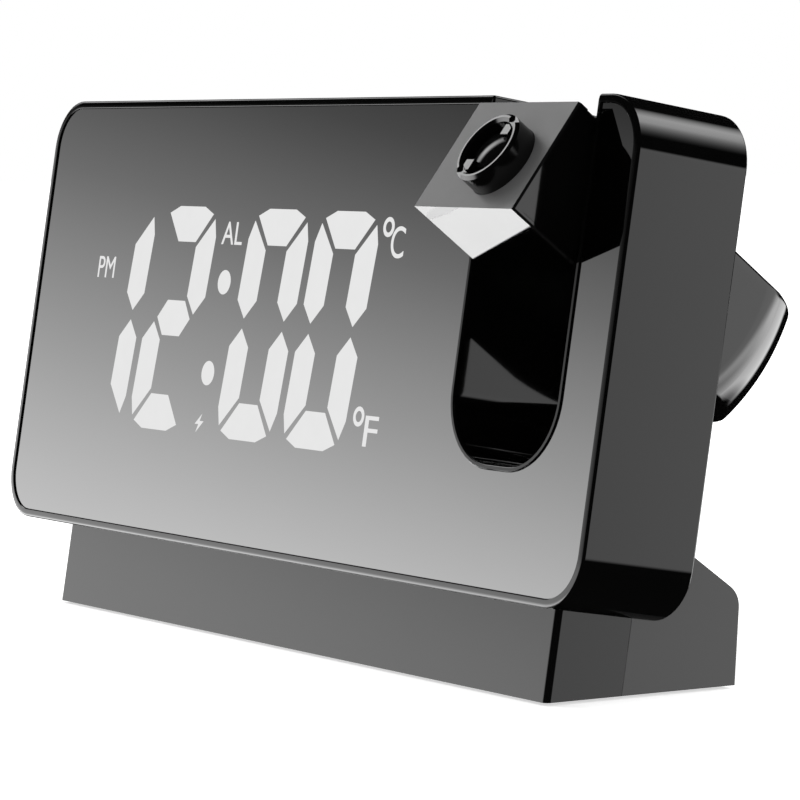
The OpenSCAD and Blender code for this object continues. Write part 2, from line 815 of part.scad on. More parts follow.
module battery_door() {
    color([0.1, 0.1, 0.1]) on_ground() difference() {
        union() {
            translate([-door_half, door_front, foot_h])
                cube([2 * door_half, stand_back_y - door_front, plate_t]);
            translate([-door_half - tongue, door_front + 1, foot_h + 0.6])
                cube([2 * (door_half + tongue), stand_back_y - door_front - 4, 0.8]);
        }
        for (i = [0 : 3]) translate([-10, stand_back_y - 4 - 1.6 * i, foot_h - over]) cube([20, 0.8, over + 0.4]);
    }
}

// ---------------------------------------------------------------- backup cells

module battery_tray() {
    bay = cell_r + 0.25;
    color([0.08, 0.08, 0.08]) on_ground() translate([0, cell_y, 0]) difference() {
        union() {
            translate([-tray_half, -tray_d, plate_z + 0.4])
                cube([2 * tray_half, 2 * tray_d, tray_top - plate_z - 0.4]);
            for (s = [0, 1]) mirror([s, 0, 0]) {
                translate([tray_half - 1, -ear, plate_z + 0.4]) cube([ear + 1, 2 * ear, ear_t]);
                translate([tray_half + 1, -ear, plate_z]) cube([ear - 1, 2 * ear, 1]);
            }
        }
        for (s = [-1, 1]) {
            x0 = s > 0 ? cell_gap - contact_t : -tray_in;
            translate([0, 0, cell_z]) rod_x(bay, x0, x0 + tray_in - cell_gap + contact_t);
            translate([x0, -bay, plate_z]) cube([tray_in - cell_gap + contact_t, 2 * bay, cell_z - plate_z]);
        }
    }
}

module backup_cells() {
    color([0.35, 0.37, 0.4]) on_ground() translate([0, cell_y, cell_z]) for (s = [-1, 1]) {
        rod_x(cell_r, s > 0 ? cell_gap + 0.8 : -cell_end, s > 0 ? cell_end : -cell_gap - 0.8);
        rod_x(1.9, s > 0 ? cell_gap : -cell_gap - 0.9, s > 0 ? cell_gap + 0.9 : -cell_gap);
    }
}

module cell_contacts() {
    color([0.8, 0.8, 0.82]) on_ground() translate([0, cell_y, 0]) for (s = [-1, 1]) {
        translate([s > 0 ? tray_in - contact_t : -tray_in, -4, cell_z - 4]) cube([contact_t, 8, 8]);
        translate([s > 0 ? cell_gap - contact_t : -cell_gap, -4, cell_z - 4]) cube([contact_t, 8, 8]);
    }
}

// Conical coil: rings of the wire's section along a helix from the wide end to the narrow end
module coil(r0, r1, length, turns, wire_r, steps = 14, sides = 6) {
    n = turns * steps;
    function ring(k) =
        let (a = 360 * k / steps, s = k / n, r = r0 + (r1 - r0) * s)
        [for (j = [0 : sides - 1])
            let (b = 360 * j / sides, q = r + wire_r * cos(b))
            [wire_r + (length - 2 * wire_r) * s + wire_r * sin(b), q * cos(a), q * sin(a)]
        ];
    pts = [for (k = [0 : n]) each ring(k)];
    sides_f = [for (k = [0 : n - 1], j = [0 : sides - 1])
        let (a = k * sides + j, b = k * sides + (j + 1) % sides)
        [a, b, b + sides, a + sides]
    ];
    ends_f = [[for (j = [sides - 1 : -1 : 0]) j], [for (j = [0 : sides - 1]) n * sides + j]];
    polyhedron(pts, concat(sides_f, ends_f));
}

module cell_springs() {
    color([0.8, 0.8, 0.82]) on_ground() for (s = [0, 1])
        translate([0, cell_y, cell_z]) rotate([0, 0, 180 * s])
            translate([tray_in - contact_t, 0, 0]) mirror([1, 0, 0]) coil(3.6, 2.2, spring_len, 4, 0.3);
}

// ---------------------------------------------------------------- projector arm

// The tail's profile turned about the pivot axis: the same U as the slot, drawn in by d
module tail_turn(d) {
    half = arm_w / 2 - d;
    r = arm_tail_r - d;
    rotate([0, 90, 0]) rotate_extrude($fn = 128)
        rounded(box2(0, -half, arm_tail - d, half), [0, r, r, 0]);
}

// Straight bar from y0 back to the tail, drawn in by d on its four sides
module arm_bar(d, y0) {
    translate([-arm_w / 2 + d, y0, arm_under + d]) cube([arm_w - 2 * d, arm_tail - y0, arm_t - 2 * d]);
}

// D-shaped end of a pivot pin, or the bore for it, grown by g
module pin_end(g, x0, x1) {
    difference() {
        rod_x(pin_r + g, x0, x1);
        translate([x0 - over, -pin_r - over, -pin_r - over]) cube([x1 - x0 + 2 * over, 2 * (pin_r + over), pin_r - pin_flat + over - g]);
    }
}

module arm_shell() {
    color([0.04, 0.04, 0.045]) in_arm() difference() {
        union() {
            difference() {
                intersection() {
                    arm_bar(0, face_y);
                    tail_turn(0);
                }
                intersection() {
                    arm_bar(arm_wall, face_y - over);
                    tail_turn(arm_wall);
                }
            }
            for (s = [-1, 1])
                rod_x(pin_r + 2, s > 0 ? pin_in : -arm_w / 2 + 0.2, s > 0 ? arm_w / 2 - 0.2 : -pin_in);
            for (y = rib_y) translate([-arm_w / 2 + 0.5, y, arm_under + 0.5])
                cube([arm_w - 1, rib_t, arm_t - 1]);
        }
        translate([lens_x, 0, lens_up]) rod_y(tube_r, face_y, tube_end);
        translate([-arm_w / 2 + lip_side - fit, face_y - over, arm_under - over])
            cube([arm_w - 2 * (lip_side - fit), lip_len - face_t + over + fit, lip_t + over + fit]);
        pin_end(0.02, pin_in - over, arm_w / 2 + over);
        pin_end(0.02, -arm_w / 2 - over, -pin_in + over);
    }
}

module in_lens() {
    in_arm() translate([lens_x, 0, lens_up]) children();
}

module lens_face_plate() {
    spigot = arm_w / 2 - arm_wall - 0.05;
    color([0.45, 0.45, 0.46]) in_arm() difference() {
        union() {
            translate([-arm_w / 2, -arm_reach, arm_under]) cube([arm_w, face_t, arm_t]);
            translate([-arm_w / 2 + lip_side, -arm_reach + face_t / 2, arm_under])
                cube([arm_w - 2 * lip_side, lip_len - face_t / 2, lip_t]);
            for (s = [-1, 1])
                translate([s > 0 ? spigot - 1 : -spigot, -arm_reach + face_t / 2, arm_mid - 5.5]) cube([1, face_t / 2 + 2.5, 11]);
        }
        translate([lens_x, 0, lens_up]) rod_y(ring_r + run, -arm_reach - over, face_y + over);
    }
}

// Turning barrel: bore for the lens cell, captive flange, chamfered rim with two finger notches
module focus_ring() {
    bore = ring_r - ring_wall;
    front = -arm_reach - ring_out;
    color([0.05, 0.05, 0.05]) in_lens() difference() {
        rotate([-90, 0, 0]) rotate_extrude() polygon([
            [bore, ring_end], [bore, front + ring_chamfer], [bore + ring_chamfer, front], [ring_r - ring_chamfer, front],
            [ring_r, front + ring_chamfer], [ring_r, face_y + 0.1], [flange_r, face_y + 0.1], [flange_r, ring_end]
        ]);
        rotate([0, notch_turn, 0]) translate([-ring_r - over, front - over, -notch_w / 2])
            cube([2 * (ring_r + over), notch_d + over, notch_w]);
    }
}

module lens_cell() {
    front = -arm_reach - ring_out + cell_set;
    back = tube_y + 5;
    color([0.06, 0.06, 0.06]) in_lens() difference() {
        union() {
            rod_y(cell_out_r, front, back);
            translate([-key_r, ring_end + 1.2, -key_w / 2]) cube([2 * key_r, 2.4, key_w]);
        }
        rod_y(cell_bore_r - 0.5, front - over, back + over);
        rod_y(cell_bore_r, front + 1, back + over);
    }
}

// Round lens: a disc cut by two true spheres, r in radius, t thick, edge thick at its rim
module round_lens(r, t, edge, flat_back) {
    sag = flat_back ? t - edge : (t - edge) / 2;
    ball = (r * r + sag * sag) / (2 * sag);
    intersection() {
        rod_y(r, 0, t);
        translate([0, ball, 0]) rotate([90, 0, 0]) sphere(r = ball, $fn = 96);
        if (!flat_back) translate([0, t - ball, 0]) rotate([90, 0, 0]) sphere(r = ball, $fn = 96);
    }
}

module projection_lens() {
    color([0.8, 0.85, 0.9, 0.5]) in_lens()
        translate([0, -arm_reach - ring_out + cell_set + 1, 0]) round_lens(cell_bore_r, 3, 1, false);
}

module optics_tube() {
    color([0.07, 0.07, 0.07]) in_lens() difference() {
        rod_y(tube_r, tube_y, tube_end);
        rod_y(cell_out_r + 0.08, tube_y - over, shelf_y + over);
        rod_y(cell_out_r - 1, shelf_y - over, tube_end + over);
        rod_y(tube_bore_r, shelf_y + shelf_t, tube_end + over);
        translate([-key_r - fit, tube_y - over, -key_w / 2 - fit]) cube([2 * (key_r + fit), 6.2 + over, key_w + 2 * fit]);
    }
}

module lcd_slide() {
    side = tube_bore_r * sqrt(2) - 0.3;
    color([0.5, 0.55, 0.6]) in_lens() translate([-side / 2, lcd_y, -side / 2]) cube([side, lcd_t, side]);
}

module optics_spacer() {
    color([0.08, 0.08, 0.08]) in_lens() difference() {
        rod_y(tube_bore_r - 0.05, lcd_y + lcd_t, lcd_y + lcd_t + spacer_t);
        rod_y(tube_bore_r - 1.3, lcd_y, lcd_y + lcd_t + spacer_t + over);
    }
}

module condenser_lens() {
    color([0.8, 0.85, 0.9, 0.5]) in_lens()
        translate([0, lcd_y + lcd_t + spacer_t, 0]) round_lens(tube_bore_r - 0.05, condenser_t, 1, true);
}

module projector_board() {
    side = tube_r * 2;
    color([0.05, 0.25, 0.12]) in_lens()
        translate([-side / 2, tube_end, -side / 2]) cube([side, small_board_t, side]);
}

module projector_led() {
    color([0.95, 0.95, 0.8]) in_lens() {
        rod_y(led_r, tube_end - led_len, tube_end);
        translate([0, tube_end - led_len, 0]) sphere(r = led_r);
    }
}

// ---------------------------------------------------------------- pivot

// Headed pin through a slot wall into the arm. s is the side, and bore its bore for the leads.
module pivot(s, bore) {
    in_arm() mirror([s > 0 ? 0 : 1, 0, 0]) difference() {
        union() {
            pin_end(0, pin_in, arm_w / 2);
            rod_x(pin_r, arm_w / 2, pin_out + flange_t / 2);
            rod_x(pin_r + 2, pin_out, pin_out + flange_t);
        }
        if (bore > 0) rod_x(bore, pin_in - over, pin_out + flange_t + over);
    }
}

module pivot_bush() {
    color([0.85, 0.85, 0.8]) pivot(-1, pin_r - 1.2);
}

module pivot_pin() {
    color([0.85, 0.85, 0.8]) pivot(1, 0);
}

module friction_washers() {
    color([0.7, 0.7, 0.72]) in_case() translate([slot_x, pivot_y, pivot_z]) for (s = [-1, 1]) difference() {
        rod_x(pin_r + 2.2, s > 0 ? hub_out : -hub_out - washer_t, s > 0 ? hub_out + washer_t : -hub_out);
        rod_x(pin_r + 0.2, -hub_out - 2 * washer_t, hub_out + 2 * washer_t);
    }
}

// ---------------------------------------------------------------- nodes

case_shell();
front_panel();
back_cover();
display_mask();
display_segments();
display_leds();
main_board();
clock_chips();
crystal();
capacitors();
buzzer();
temperature_sensor();
power_inlet();
tact_switches();
cover_screws();
board_screws();
case_screws();
snooze_bar();
snooze_plunger();
rear_button(0);  // button_mode
rear_button(1);  // button_set
rear_button(2);  // button_up
rear_button(3);  // button_down
rear_button(4);  // button_lamp
button_plunger(0);  // plunger_mode
button_plunger(1);  // plunger_set
button_plunger(2);  // plunger_up
button_plunger(3);  // plunger_down
button_plunger(4);  // plunger_lamp
stand_front();
stand_rear();
base_plate();
base_screws();
rubber_feet();
battery_tray();
backup_cells();
cell_springs();
cell_contacts();
battery_door();
arm_shell();
lens_face_plate();
focus_ring();
lens_cell();
projection_lens();
optics_tube();
optics_spacer();
lcd_slide();
condenser_lens();
projector_board();
projector_led();
pivot_bush();
pivot_pin();
friction_washers();
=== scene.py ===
"""Finished look of the projection alarm clock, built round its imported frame.

Each sub-assembly is a class that holds its sizes in millimetres, builds its surfaces in a placing
of its own and dresses them in procedural finishes. A placing turns millimetres into the frame's
metres.
"""

import json
import logging
import math
from dataclasses import dataclass, field
from enum import Enum

import bmesh
import bpy
import numpy as np
from mathutils import Matrix, Vector


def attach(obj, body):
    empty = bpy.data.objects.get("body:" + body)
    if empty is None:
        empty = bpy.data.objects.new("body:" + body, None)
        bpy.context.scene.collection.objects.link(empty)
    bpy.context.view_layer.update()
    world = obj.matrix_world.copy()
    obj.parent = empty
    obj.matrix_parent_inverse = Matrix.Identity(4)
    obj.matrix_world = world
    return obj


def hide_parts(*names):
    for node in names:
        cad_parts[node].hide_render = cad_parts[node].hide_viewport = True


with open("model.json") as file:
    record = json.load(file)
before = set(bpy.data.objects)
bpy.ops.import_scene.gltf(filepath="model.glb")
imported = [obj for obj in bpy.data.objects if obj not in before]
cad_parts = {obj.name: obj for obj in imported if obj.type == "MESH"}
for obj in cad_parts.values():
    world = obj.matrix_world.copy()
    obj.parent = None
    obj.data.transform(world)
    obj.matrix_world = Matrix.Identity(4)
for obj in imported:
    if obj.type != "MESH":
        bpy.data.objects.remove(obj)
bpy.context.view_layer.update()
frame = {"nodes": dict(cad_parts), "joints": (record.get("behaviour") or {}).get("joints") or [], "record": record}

LOG = logging.getLogger("projection_clock")
MM = 0.001  # metres in a millimetre
MICRON = 1e-6  # metres in a micrometre
MERGE = 2e-6  # metres within which two points are one
FLAT_TURN = 0.4  # degrees within which a CAD copy's faces are one
ALIGNED = 0.9  # cosine within which a face looks a given way
MIDDLE = (0.3, 0.7)  # part of a noise's range that is used
GLOSS_PATCH = 0.6  # size of the gloss's patches beside the colour's
COAT_ROUGH = 0.04

Span = tuple[float, float]
Profile = tuple[Span, ...]
Point = tuple[float, float, float]
Colour = tuple[float, float, float]
Box = tuple[float, float, float, float]


# ------------------------------------------------------------------ placings and bodies


class Body(Enum):
    """CAD bodies that a finished piece can ride on."""

    CLOCK = "clock"
    ARM = "projector_arm"
    RING = "focus_barrel"
    CARRIER = "lens_carrier"
    SNOOZE = "snooze_key"
    DOOR = "battery_cover"
    MODE = "key_mode"
    SET = "key_set"
    UP = "key_up"
    DOWN = "key_down"
    LAMP = "key_lamp"


@dataclass(frozen=True)
class Placing:
    """Turn about X and shift, from a group's own millimetres to the frame's metres."""

    turn: float
    origin: Vector

    def matrix(self) -> Matrix:
        """The move as one matrix, with the scale from millimetres in it."""
        turn = Matrix.Rotation(math.radians(self.turn), 4, "X")
        return Matrix.Translation(self.origin * MM) @ turn @ Matrix.Scale(MM, 4)


@dataclass(frozen=True)
class Layout:
    """Where the case, the arm and the lens stand, worked out from the arm's pivot joint."""

    lean: float = 9.2
    lift: float = 28.2
    pivot: Vector = field(default_factory=lambda: Vector((68.35, 11.75, 60.0)))
    lens: Vector = field(default_factory=lambda: Vector((3.3, 0.0, -2.3)))

    def pivot_point(self) -> Vector:
        """Pivot of the projector arm in the frame, in millimetres."""
        joint = next(j for j in frame["joints"] if j["name"] == "arm_tilt")
        return Vector(joint["pos_m"]) / MM

    def case(self) -> Placing:
        """Case frame: x across, y back from the front rim, z up along the leaning face."""
        turn = Matrix.Rotation(math.radians(-self.lean), 3, "X")
        return Placing(-self.lean, self.pivot_point() - turn @ self.pivot)

    def arm(self) -> Placing:
        """Arm frame: x across, y from the pivot to the tail, z square to both."""
        return Placing(-self.lean - self.lift, self.pivot_point())

    def optics(self) -> Placing:
        """Arm frame moved on to the lens axis."""
        turn = Matrix.Rotation(math.radians(-self.lean - self.lift), 3, "X")
        return Placing(-self.lean - self.lift, self.pivot_point() + turn @ self.lens)


LAYOUT = Layout()
WORLD = Placing(0.0, Vector((0.0, 0.0, 0.0)))


# ------------------------------------------------------------------ surfaces as whole arrays


@dataclass
class Shape:
    """Vertices in a placing's millimetres, and the faces that join them."""

    points: np.ndarray
    faces: list[list[int]]

    def __add__(self, other: "Shape") -> "Shape":
        """Both shapes as one.

        Args:
            other: Shape in the same placing.

        Returns:
            One shape, with the other's faces after its own.
        """
        shift = len(self.points)
        moved = [[i + shift for i in face] for face in other.faces]
        return Shape(np.vstack([self.points, other.points]), self.faces + moved)

    def moved(self, x: float, y: float, z: float) -> "Shape":
        """The shape shifted by x, y, z."""
        return Shape(self.points + np.array([x, y, z]), self.faces)

    def turned_y(self, degrees: float) -> "Shape":
        """The shape turned about its own y axis."""
        turn = np.array(Matrix.Rotation(math.radians(degrees), 3, "Y"))
        return Shape(self.points @ turn.T, self.faces)


def joined(shapes: list[Shape]) -> Shape:
    """Several shapes as one."""
    return sum(shapes[1:], shapes[0])


def loft(rings: np.ndarray, closed: bool = False) -> Shape:
    """Skin over a stack of rings: point j of ring i meets point j of ring i + 1.

    Args:
        rings: Array of rings by points by three.
        closed: True where the last ring meets the first, False where both ends get a cap.

    Returns:
        The skin as quads, with its caps.
    """
    count, size = rings.shape[:2]
    i = np.arange(count if closed else count - 1)[:, None]
    j = np.arange(size)[None, :]
    here, there = i * size, ((i + 1) % count) * size
    nxt = (j + 1) % size
    quads = np.stack([here + j, here + nxt, there + nxt, there + j], -1).reshape(-1, 4).tolist()
    if not closed:
        quads += [list(range(size))[::-1], list(range((count - 1) * size, count * size))]
    return Shape(rings.reshape(-1, 3), quads)


def flat(loop: np.ndarray, y: float | np.ndarray) -> np.ndarray:
    """A loop of x, z pairs as points at depth y."""
    return np.stack([loop[:, 0], np.broadcast_to(y, len(loop)), loop[:, 1]], -1)


def prism(loop: np.ndarray, y0: float, y1: float) -> Shape:
    """Slab over a loop of x, z pairs, from depth y0 to y1."""
    return loft(np.stack([flat(loop, y0), flat(loop, y1)]))


def block(x: Span, y: Span, z: Span) -> Shape:
    """Plain box between two values on each axis."""
    loop = np.array([[x[0], z[0]], [x[1], z[0]], [x[1], z[1]], [x[0], z[1]]])
    return prism(loop, *y)


def revolve(profile: list[Span], steps: int = 96, closed: bool = True) -> Shape:
    """Profile of radius and depth pairs carried round the y axis.

    Each point of the profile becomes a circle: x is radius times cosine, z is radius times sine.

    Args:
        profile: Radius and depth of each point.
        steps: Points on a circle.
        closed: True for a hollow section whose last point meets its first.

    Returns:
        The turned surface.
    """
    radius, depth = np.array(profile, float).T[:, :, None]
    angle = np.linspace(0, 2 * np.pi, steps, endpoint=False)
    rings = np.stack(np.broadcast_arrays(radius * np.cos(angle), depth, radius * np.sin(angle)), -1)
    return loft(rings, closed)


def rod(radius: float, y0: float, y1: float, steps: int = 96) -> Shape:
    """Plain round bar along y."""
    return revolve([(radius, y0), (radius, y1)], steps, closed=False)


def outline(
    corners: np.ndarray, radii: np.ndarray, insets: np.ndarray, steps: int = 14
) -> np.ndarray:
    """Right-angled anticlockwise outline with rounded corners, each edge drawn in by its own inset.

    A corner's centre lies its radius inside both edges, or outside both at an inner corner. The
    arc's two half-axes are the radius less the edges' insets, or the radius plus them at an inner
    corner, and the arc turns from the one edge's normal to the other's.

    Args:
        corners: The x, z pairs of the sharp corners.
        radii: Radius of each corner.
        insets: Inset of the edge that starts at each corner.
        steps: Points on each corner's arc.

    Returns:
        Loop of x, z pairs.
    """
    along = np.roll(corners, -1, 0) - corners
    along /= np.linalg.norm(along, axis=1, keepdims=True)
    normal = np.stack([-along[:, 1], along[:, 0]], -1)
    before, inset_before = np.roll(normal, 1, 0), np.roll(insets, 1)
    inner = np.einsum("ij,ij->i", np.roll(along, 1, 0), normal) > 0
    sign = np.where(inner, -1.0, 1.0)
    reach_a = np.where(inner, radii, np.maximum(radii, inset_before))
    reach_b = np.where(inner, radii, np.maximum(radii, insets))
    half_a = np.maximum(reach_a - sign * inset_before, 0)
    half_b = np.maximum(reach_b - sign * insets, 0)
    centre = corners + sign[:, None] * (reach_a[:, None] * before + reach_b[:, None] * normal)
    turn = np.linspace(0, np.pi / 2, steps)
    arc_a = (half_a[:, None] * np.cos(turn))[..., None] * before[:, None]
    arc_b = (half_b[:, None] * np.sin(turn))[..., None] * normal[:, None]
    return (centre[:, None] - sign[:, None, None] * (arc_a + arc_b)).reshape(-1, 2)


def box_loop(x: Span, z: Span, radius: float) -> np.ndarray:
    """Rounded rectangle as a loop of x, z pairs."""
    corners = np.array([[x[0], z[0]], [x[1], z[0]], [x[1], z[1]], [x[0], z[1]]], float)
    return outline(corners, np.full(4, radius), np.zeros(4), 10)


def cad_copy(node: str) -> Shape:
    """Surface of a CAD node with its loose triangles merged and its flat regions joined.

    Args:
        node: Name of the node.

    Returns:
        The surface in the frame's own axes, in millimetres.
    """
    work = bmesh.new()
    work.from_mesh(frame["nodes"][node].data)
    bmesh.ops.remove_doubles(work, verts=work.verts, dist=MERGE)
    bmesh.ops.dissolve_limit(
        work, angle_limit=math.radians(FLAT_TURN), verts=work.verts, edges=work.edges
    )
    work.verts.index_update()
    points = np.array([v.co for v in work.verts]) / MM
    faces = [[v.index for v in face.verts] for face in work.faces]
    work.free()
    return Shape(points, faces)


# ------------------------------------------------------------------ finishes


class Graph:
    """Shader nodes of one material or world, added a call at a time."""

    def __init__(self, tree: bpy.types.NodeTree) -> None:
        """Starts from an empty tree."""
        tree.nodes.clear()
        self.tree = tree

    def add(self, kind: str, inputs: dict | None = None, **settings: object) -> bpy.types.Node:
        """One more node.

        Args:
            kind: The node's type, without its ShaderNode prefix.
            inputs: Value or source socket of inputs, by name or number.
            settings: The node's own properties.

        Returns:
            The new node.
        """
        node = self.tree.nodes.new("ShaderNode" + kind)
        for key, value in settings.items():
            setattr(node, key, value)
        for key, value in (inputs or {}).items():
            if isinstance(value, bpy.types.NodeSocket):
                self.tree.links.new(value, node.inputs[key])
            else:
                node.inputs[key].default_value = value
        return node

    def noise(
        self, spacing: float, detail: float = 3.0, stretch: Point = (1, 1, 1)
    ) -> bpy.types.NodeSocket:
        """Noise in object coordinates.

        Args:
            spacing: About how many millimetres apart its features are.
            detail: How many finer layers it has.
            stretch: Scale of the coordinates on each axis.

        Returns:
            Socket of the noise's value.
        """
        coords = self.add("TexCoord").outputs["Object"]
        mapped = self.add("Mapping", {"Vector": coords, "Scale": stretch}).outputs[0]
        inputs = {"Vector": mapped, "Scale": 1 / (spacing * MM), "Detail": detail}
        return self.add("TexNoise", inputs).outputs[0]

    def spread(self, source: bpy.types.NodeSocket, low: float, high: float) -> bpy.types.NodeSocket:
        """Source's middle range mapped to low and high."""
        inputs = {0: source, 1: MIDDLE[0], 2: MIDDLE[1], 3: low, 4: high}
        return self.add("MapRange", inputs).outputs[0]

    def blend(
        self, factor: bpy.types.NodeSocket, low: Colour, high: Colour
    ) -> bpy.types.NodeSocket:
        """Colour between low and high."""
        inputs = {0: factor, 6: (*low, 1), 7: (*high, 1)}
        return self.add("Mix", inputs, data_type="RGBA").outputs[2]


def grey(value: float, warm: float = 0.0) -> Colour:
    """Neutral colour, or one a little warmer."""
    return (value * (1 + warm), value, value * (1 - warm))


@dataclass(frozen=True)
class Finish:
    """Moulded or polished surface: slow mottle in colour and gloss over a fine moulded grain.

    Lengths are millimetres, heights micrometres, and mottle the share that colour and roughness
    wander by.
    """

    name: str
    base: Colour
    rough: float = 0.3
    metal: float = 0.0
    ior: float = 1.5
    mottle: float = 0.2
    patch: float = 14.0
    grain: float = 0.4
    height: float = 0.0
    stretch: Point = (1, 1, 1)
    coat: float = 0.0

    def material(self) -> bpy.types.Material:
        """The finish as a Blender material, made once.

        Returns:
            The material, shared by every piece that wears the finish.
        """
        found = bpy.data.materials.get(self.name)
        if found:
            return found
        made = bpy.data.materials.new(self.name)
        made.use_nodes = True
        graph = Graph(made.node_tree)
        shader = graph.add("BsdfPrincipled", self.inputs(graph)).outputs[0]
        graph.add("OutputMaterial", {"Surface": shader})
        return made

    def colour(self, graph: Graph) -> bpy.types.NodeSocket:
        """Base colour that wanders by the mottle.

        Args:
            graph: Where the nodes go.

        Returns:
            Socket of the colour.
        """
        low = tuple(c * (1 - self.mottle) for c in self.base)
        high = tuple(min(c * (1 + self.mottle), 1.0) for c in self.base)
        patches = graph.noise(self.patch, 4.0, self.stretch)
        return graph.blend(graph.spread(patches, 0, 1), low, high)

    def inputs(self, graph: Graph) -> dict:
        """Principled inputs: wandering colour and roughness, and a bump where there is grain.

        Args:
            graph: Where the nodes go.

        Returns:
            Value or source socket of each input, by name.
        """
        wander = graph.noise(self.patch * GLOSS_PATCH, 5.0, self.stretch)
        low, high = self.rough * (1 - self.mottle), min(self.rough * (1 + self.mottle), 1)
        made = {
            "Base Color": self.colour(graph),
            "Roughness": graph.spread(wander, low, high),
            "Metallic": self.metal,
            "IOR": self.ior,
            "Coat Weight": self.coat,
            "Coat Roughness": COAT_ROUGH,
        }
        if self.height:
            grain = graph.noise(self.grain, 2.0, self.stretch)
            bump = graph.add("Bump", {"Height": grain, "Distance": self.height * MICRON})
            made["Normal"] = bump.outputs[0]
        return made


@dataclass(frozen=True)
class LitFinish(Finish):
    """Lit cell of the display: even white light with the faint cloudiness of its diffuser."""

    glow: float = 0.8

    def inputs(self, graph: Graph) -> dict:
        """Adds the light to the plain inputs.

        Args:
            graph: Where the nodes go.

        Returns:
            Value or source socket of each input, by name.
        """
        made = super().inputs(graph)
        made["Emission Color"] = graph.blend(graph.noise(3.0), grey(0.96), grey(1.0))
        made["Emission Strength"] = self.glow
        made["Specular IOR Level"] = 0.0
        return made


@dataclass(frozen=True)
class ClearFinish(Finish):
    """Clear moulded lens with a thin coating."""

    def inputs(self, graph: Graph) -> dict:
        """Adds the clear body to the plain inputs."""
        return super().inputs(graph) | {"Transmission Weight": 1.0}


@dataclass(frozen=True)
class BoardFinish(Finish):
    """Solder mask over etched tracks, with tinned pads showing through."""

    track: float = 1.4
    copper: Colour = (0.02, 0.3, 0.12)
    tin: Colour = (0.6, 0.6, 0.55)

    def colour(self, graph: Graph) -> bpy.types.NodeSocket:
        """Mask colour, lighter over stepped tracks, and pads on a grid of cells.

        Args:
            graph: Where the nodes go.

        Returns:
            Socket of the colour.
        """
        coords = graph.add("TexCoord").outputs["Object"]
        scale = 1 / (self.track * MM)
        bricks = {"Vector": coords, "Scale": scale * 0.5, "Mortar Size": 0.04}
        bricks |= {"Color1": (*self.base, 1), "Color2": (*grey(0.03), 1)}
        tracks = graph.add("TexBrick", bricks | {"Mortar": (*self.copper, 1)}).outputs[0]
        cells = {"Vector": coords, "Scale": scale, "Randomness": 0.25}
        cell = graph.add("TexVoronoi", cells, feature="DISTANCE_TO_EDGE").outputs[0]
        pads = graph.add("MapRange", {0: cell, 1: 0.4, 2: 0.44, 3: 0.0, 4: 1.0}).outputs[0]
        inputs = {0: pads, 6: tracks, 7: (*self.tin, 1)}
        return graph.add("Mix", inputs, data_type="RGBA").outputs[2]


@dataclass(frozen=True)
class SleeveFinish(Finish):
    """Printed sleeve of a cell: a dark band and a light one along x."""

    band: float = 9.0

    def colour(self, graph: Graph) -> bpy.types.NodeSocket:
        """Two printed colours in rings along the cell.

        Args:
            graph: Where the nodes go.

        Returns:
            Socket of the colour.
        """
        coords = graph.add("TexCoord").outputs["Object"]
        wave = {"Vector": coords, "Scale": 0.32 / (self.band * MM), "Distortion": 0.2}
        rings = graph.add("TexWave", wave, bands_direction="X").outputs[0]
        return graph.blend(graph.spread(rings, 0, 1), self.base, grey(0.03))


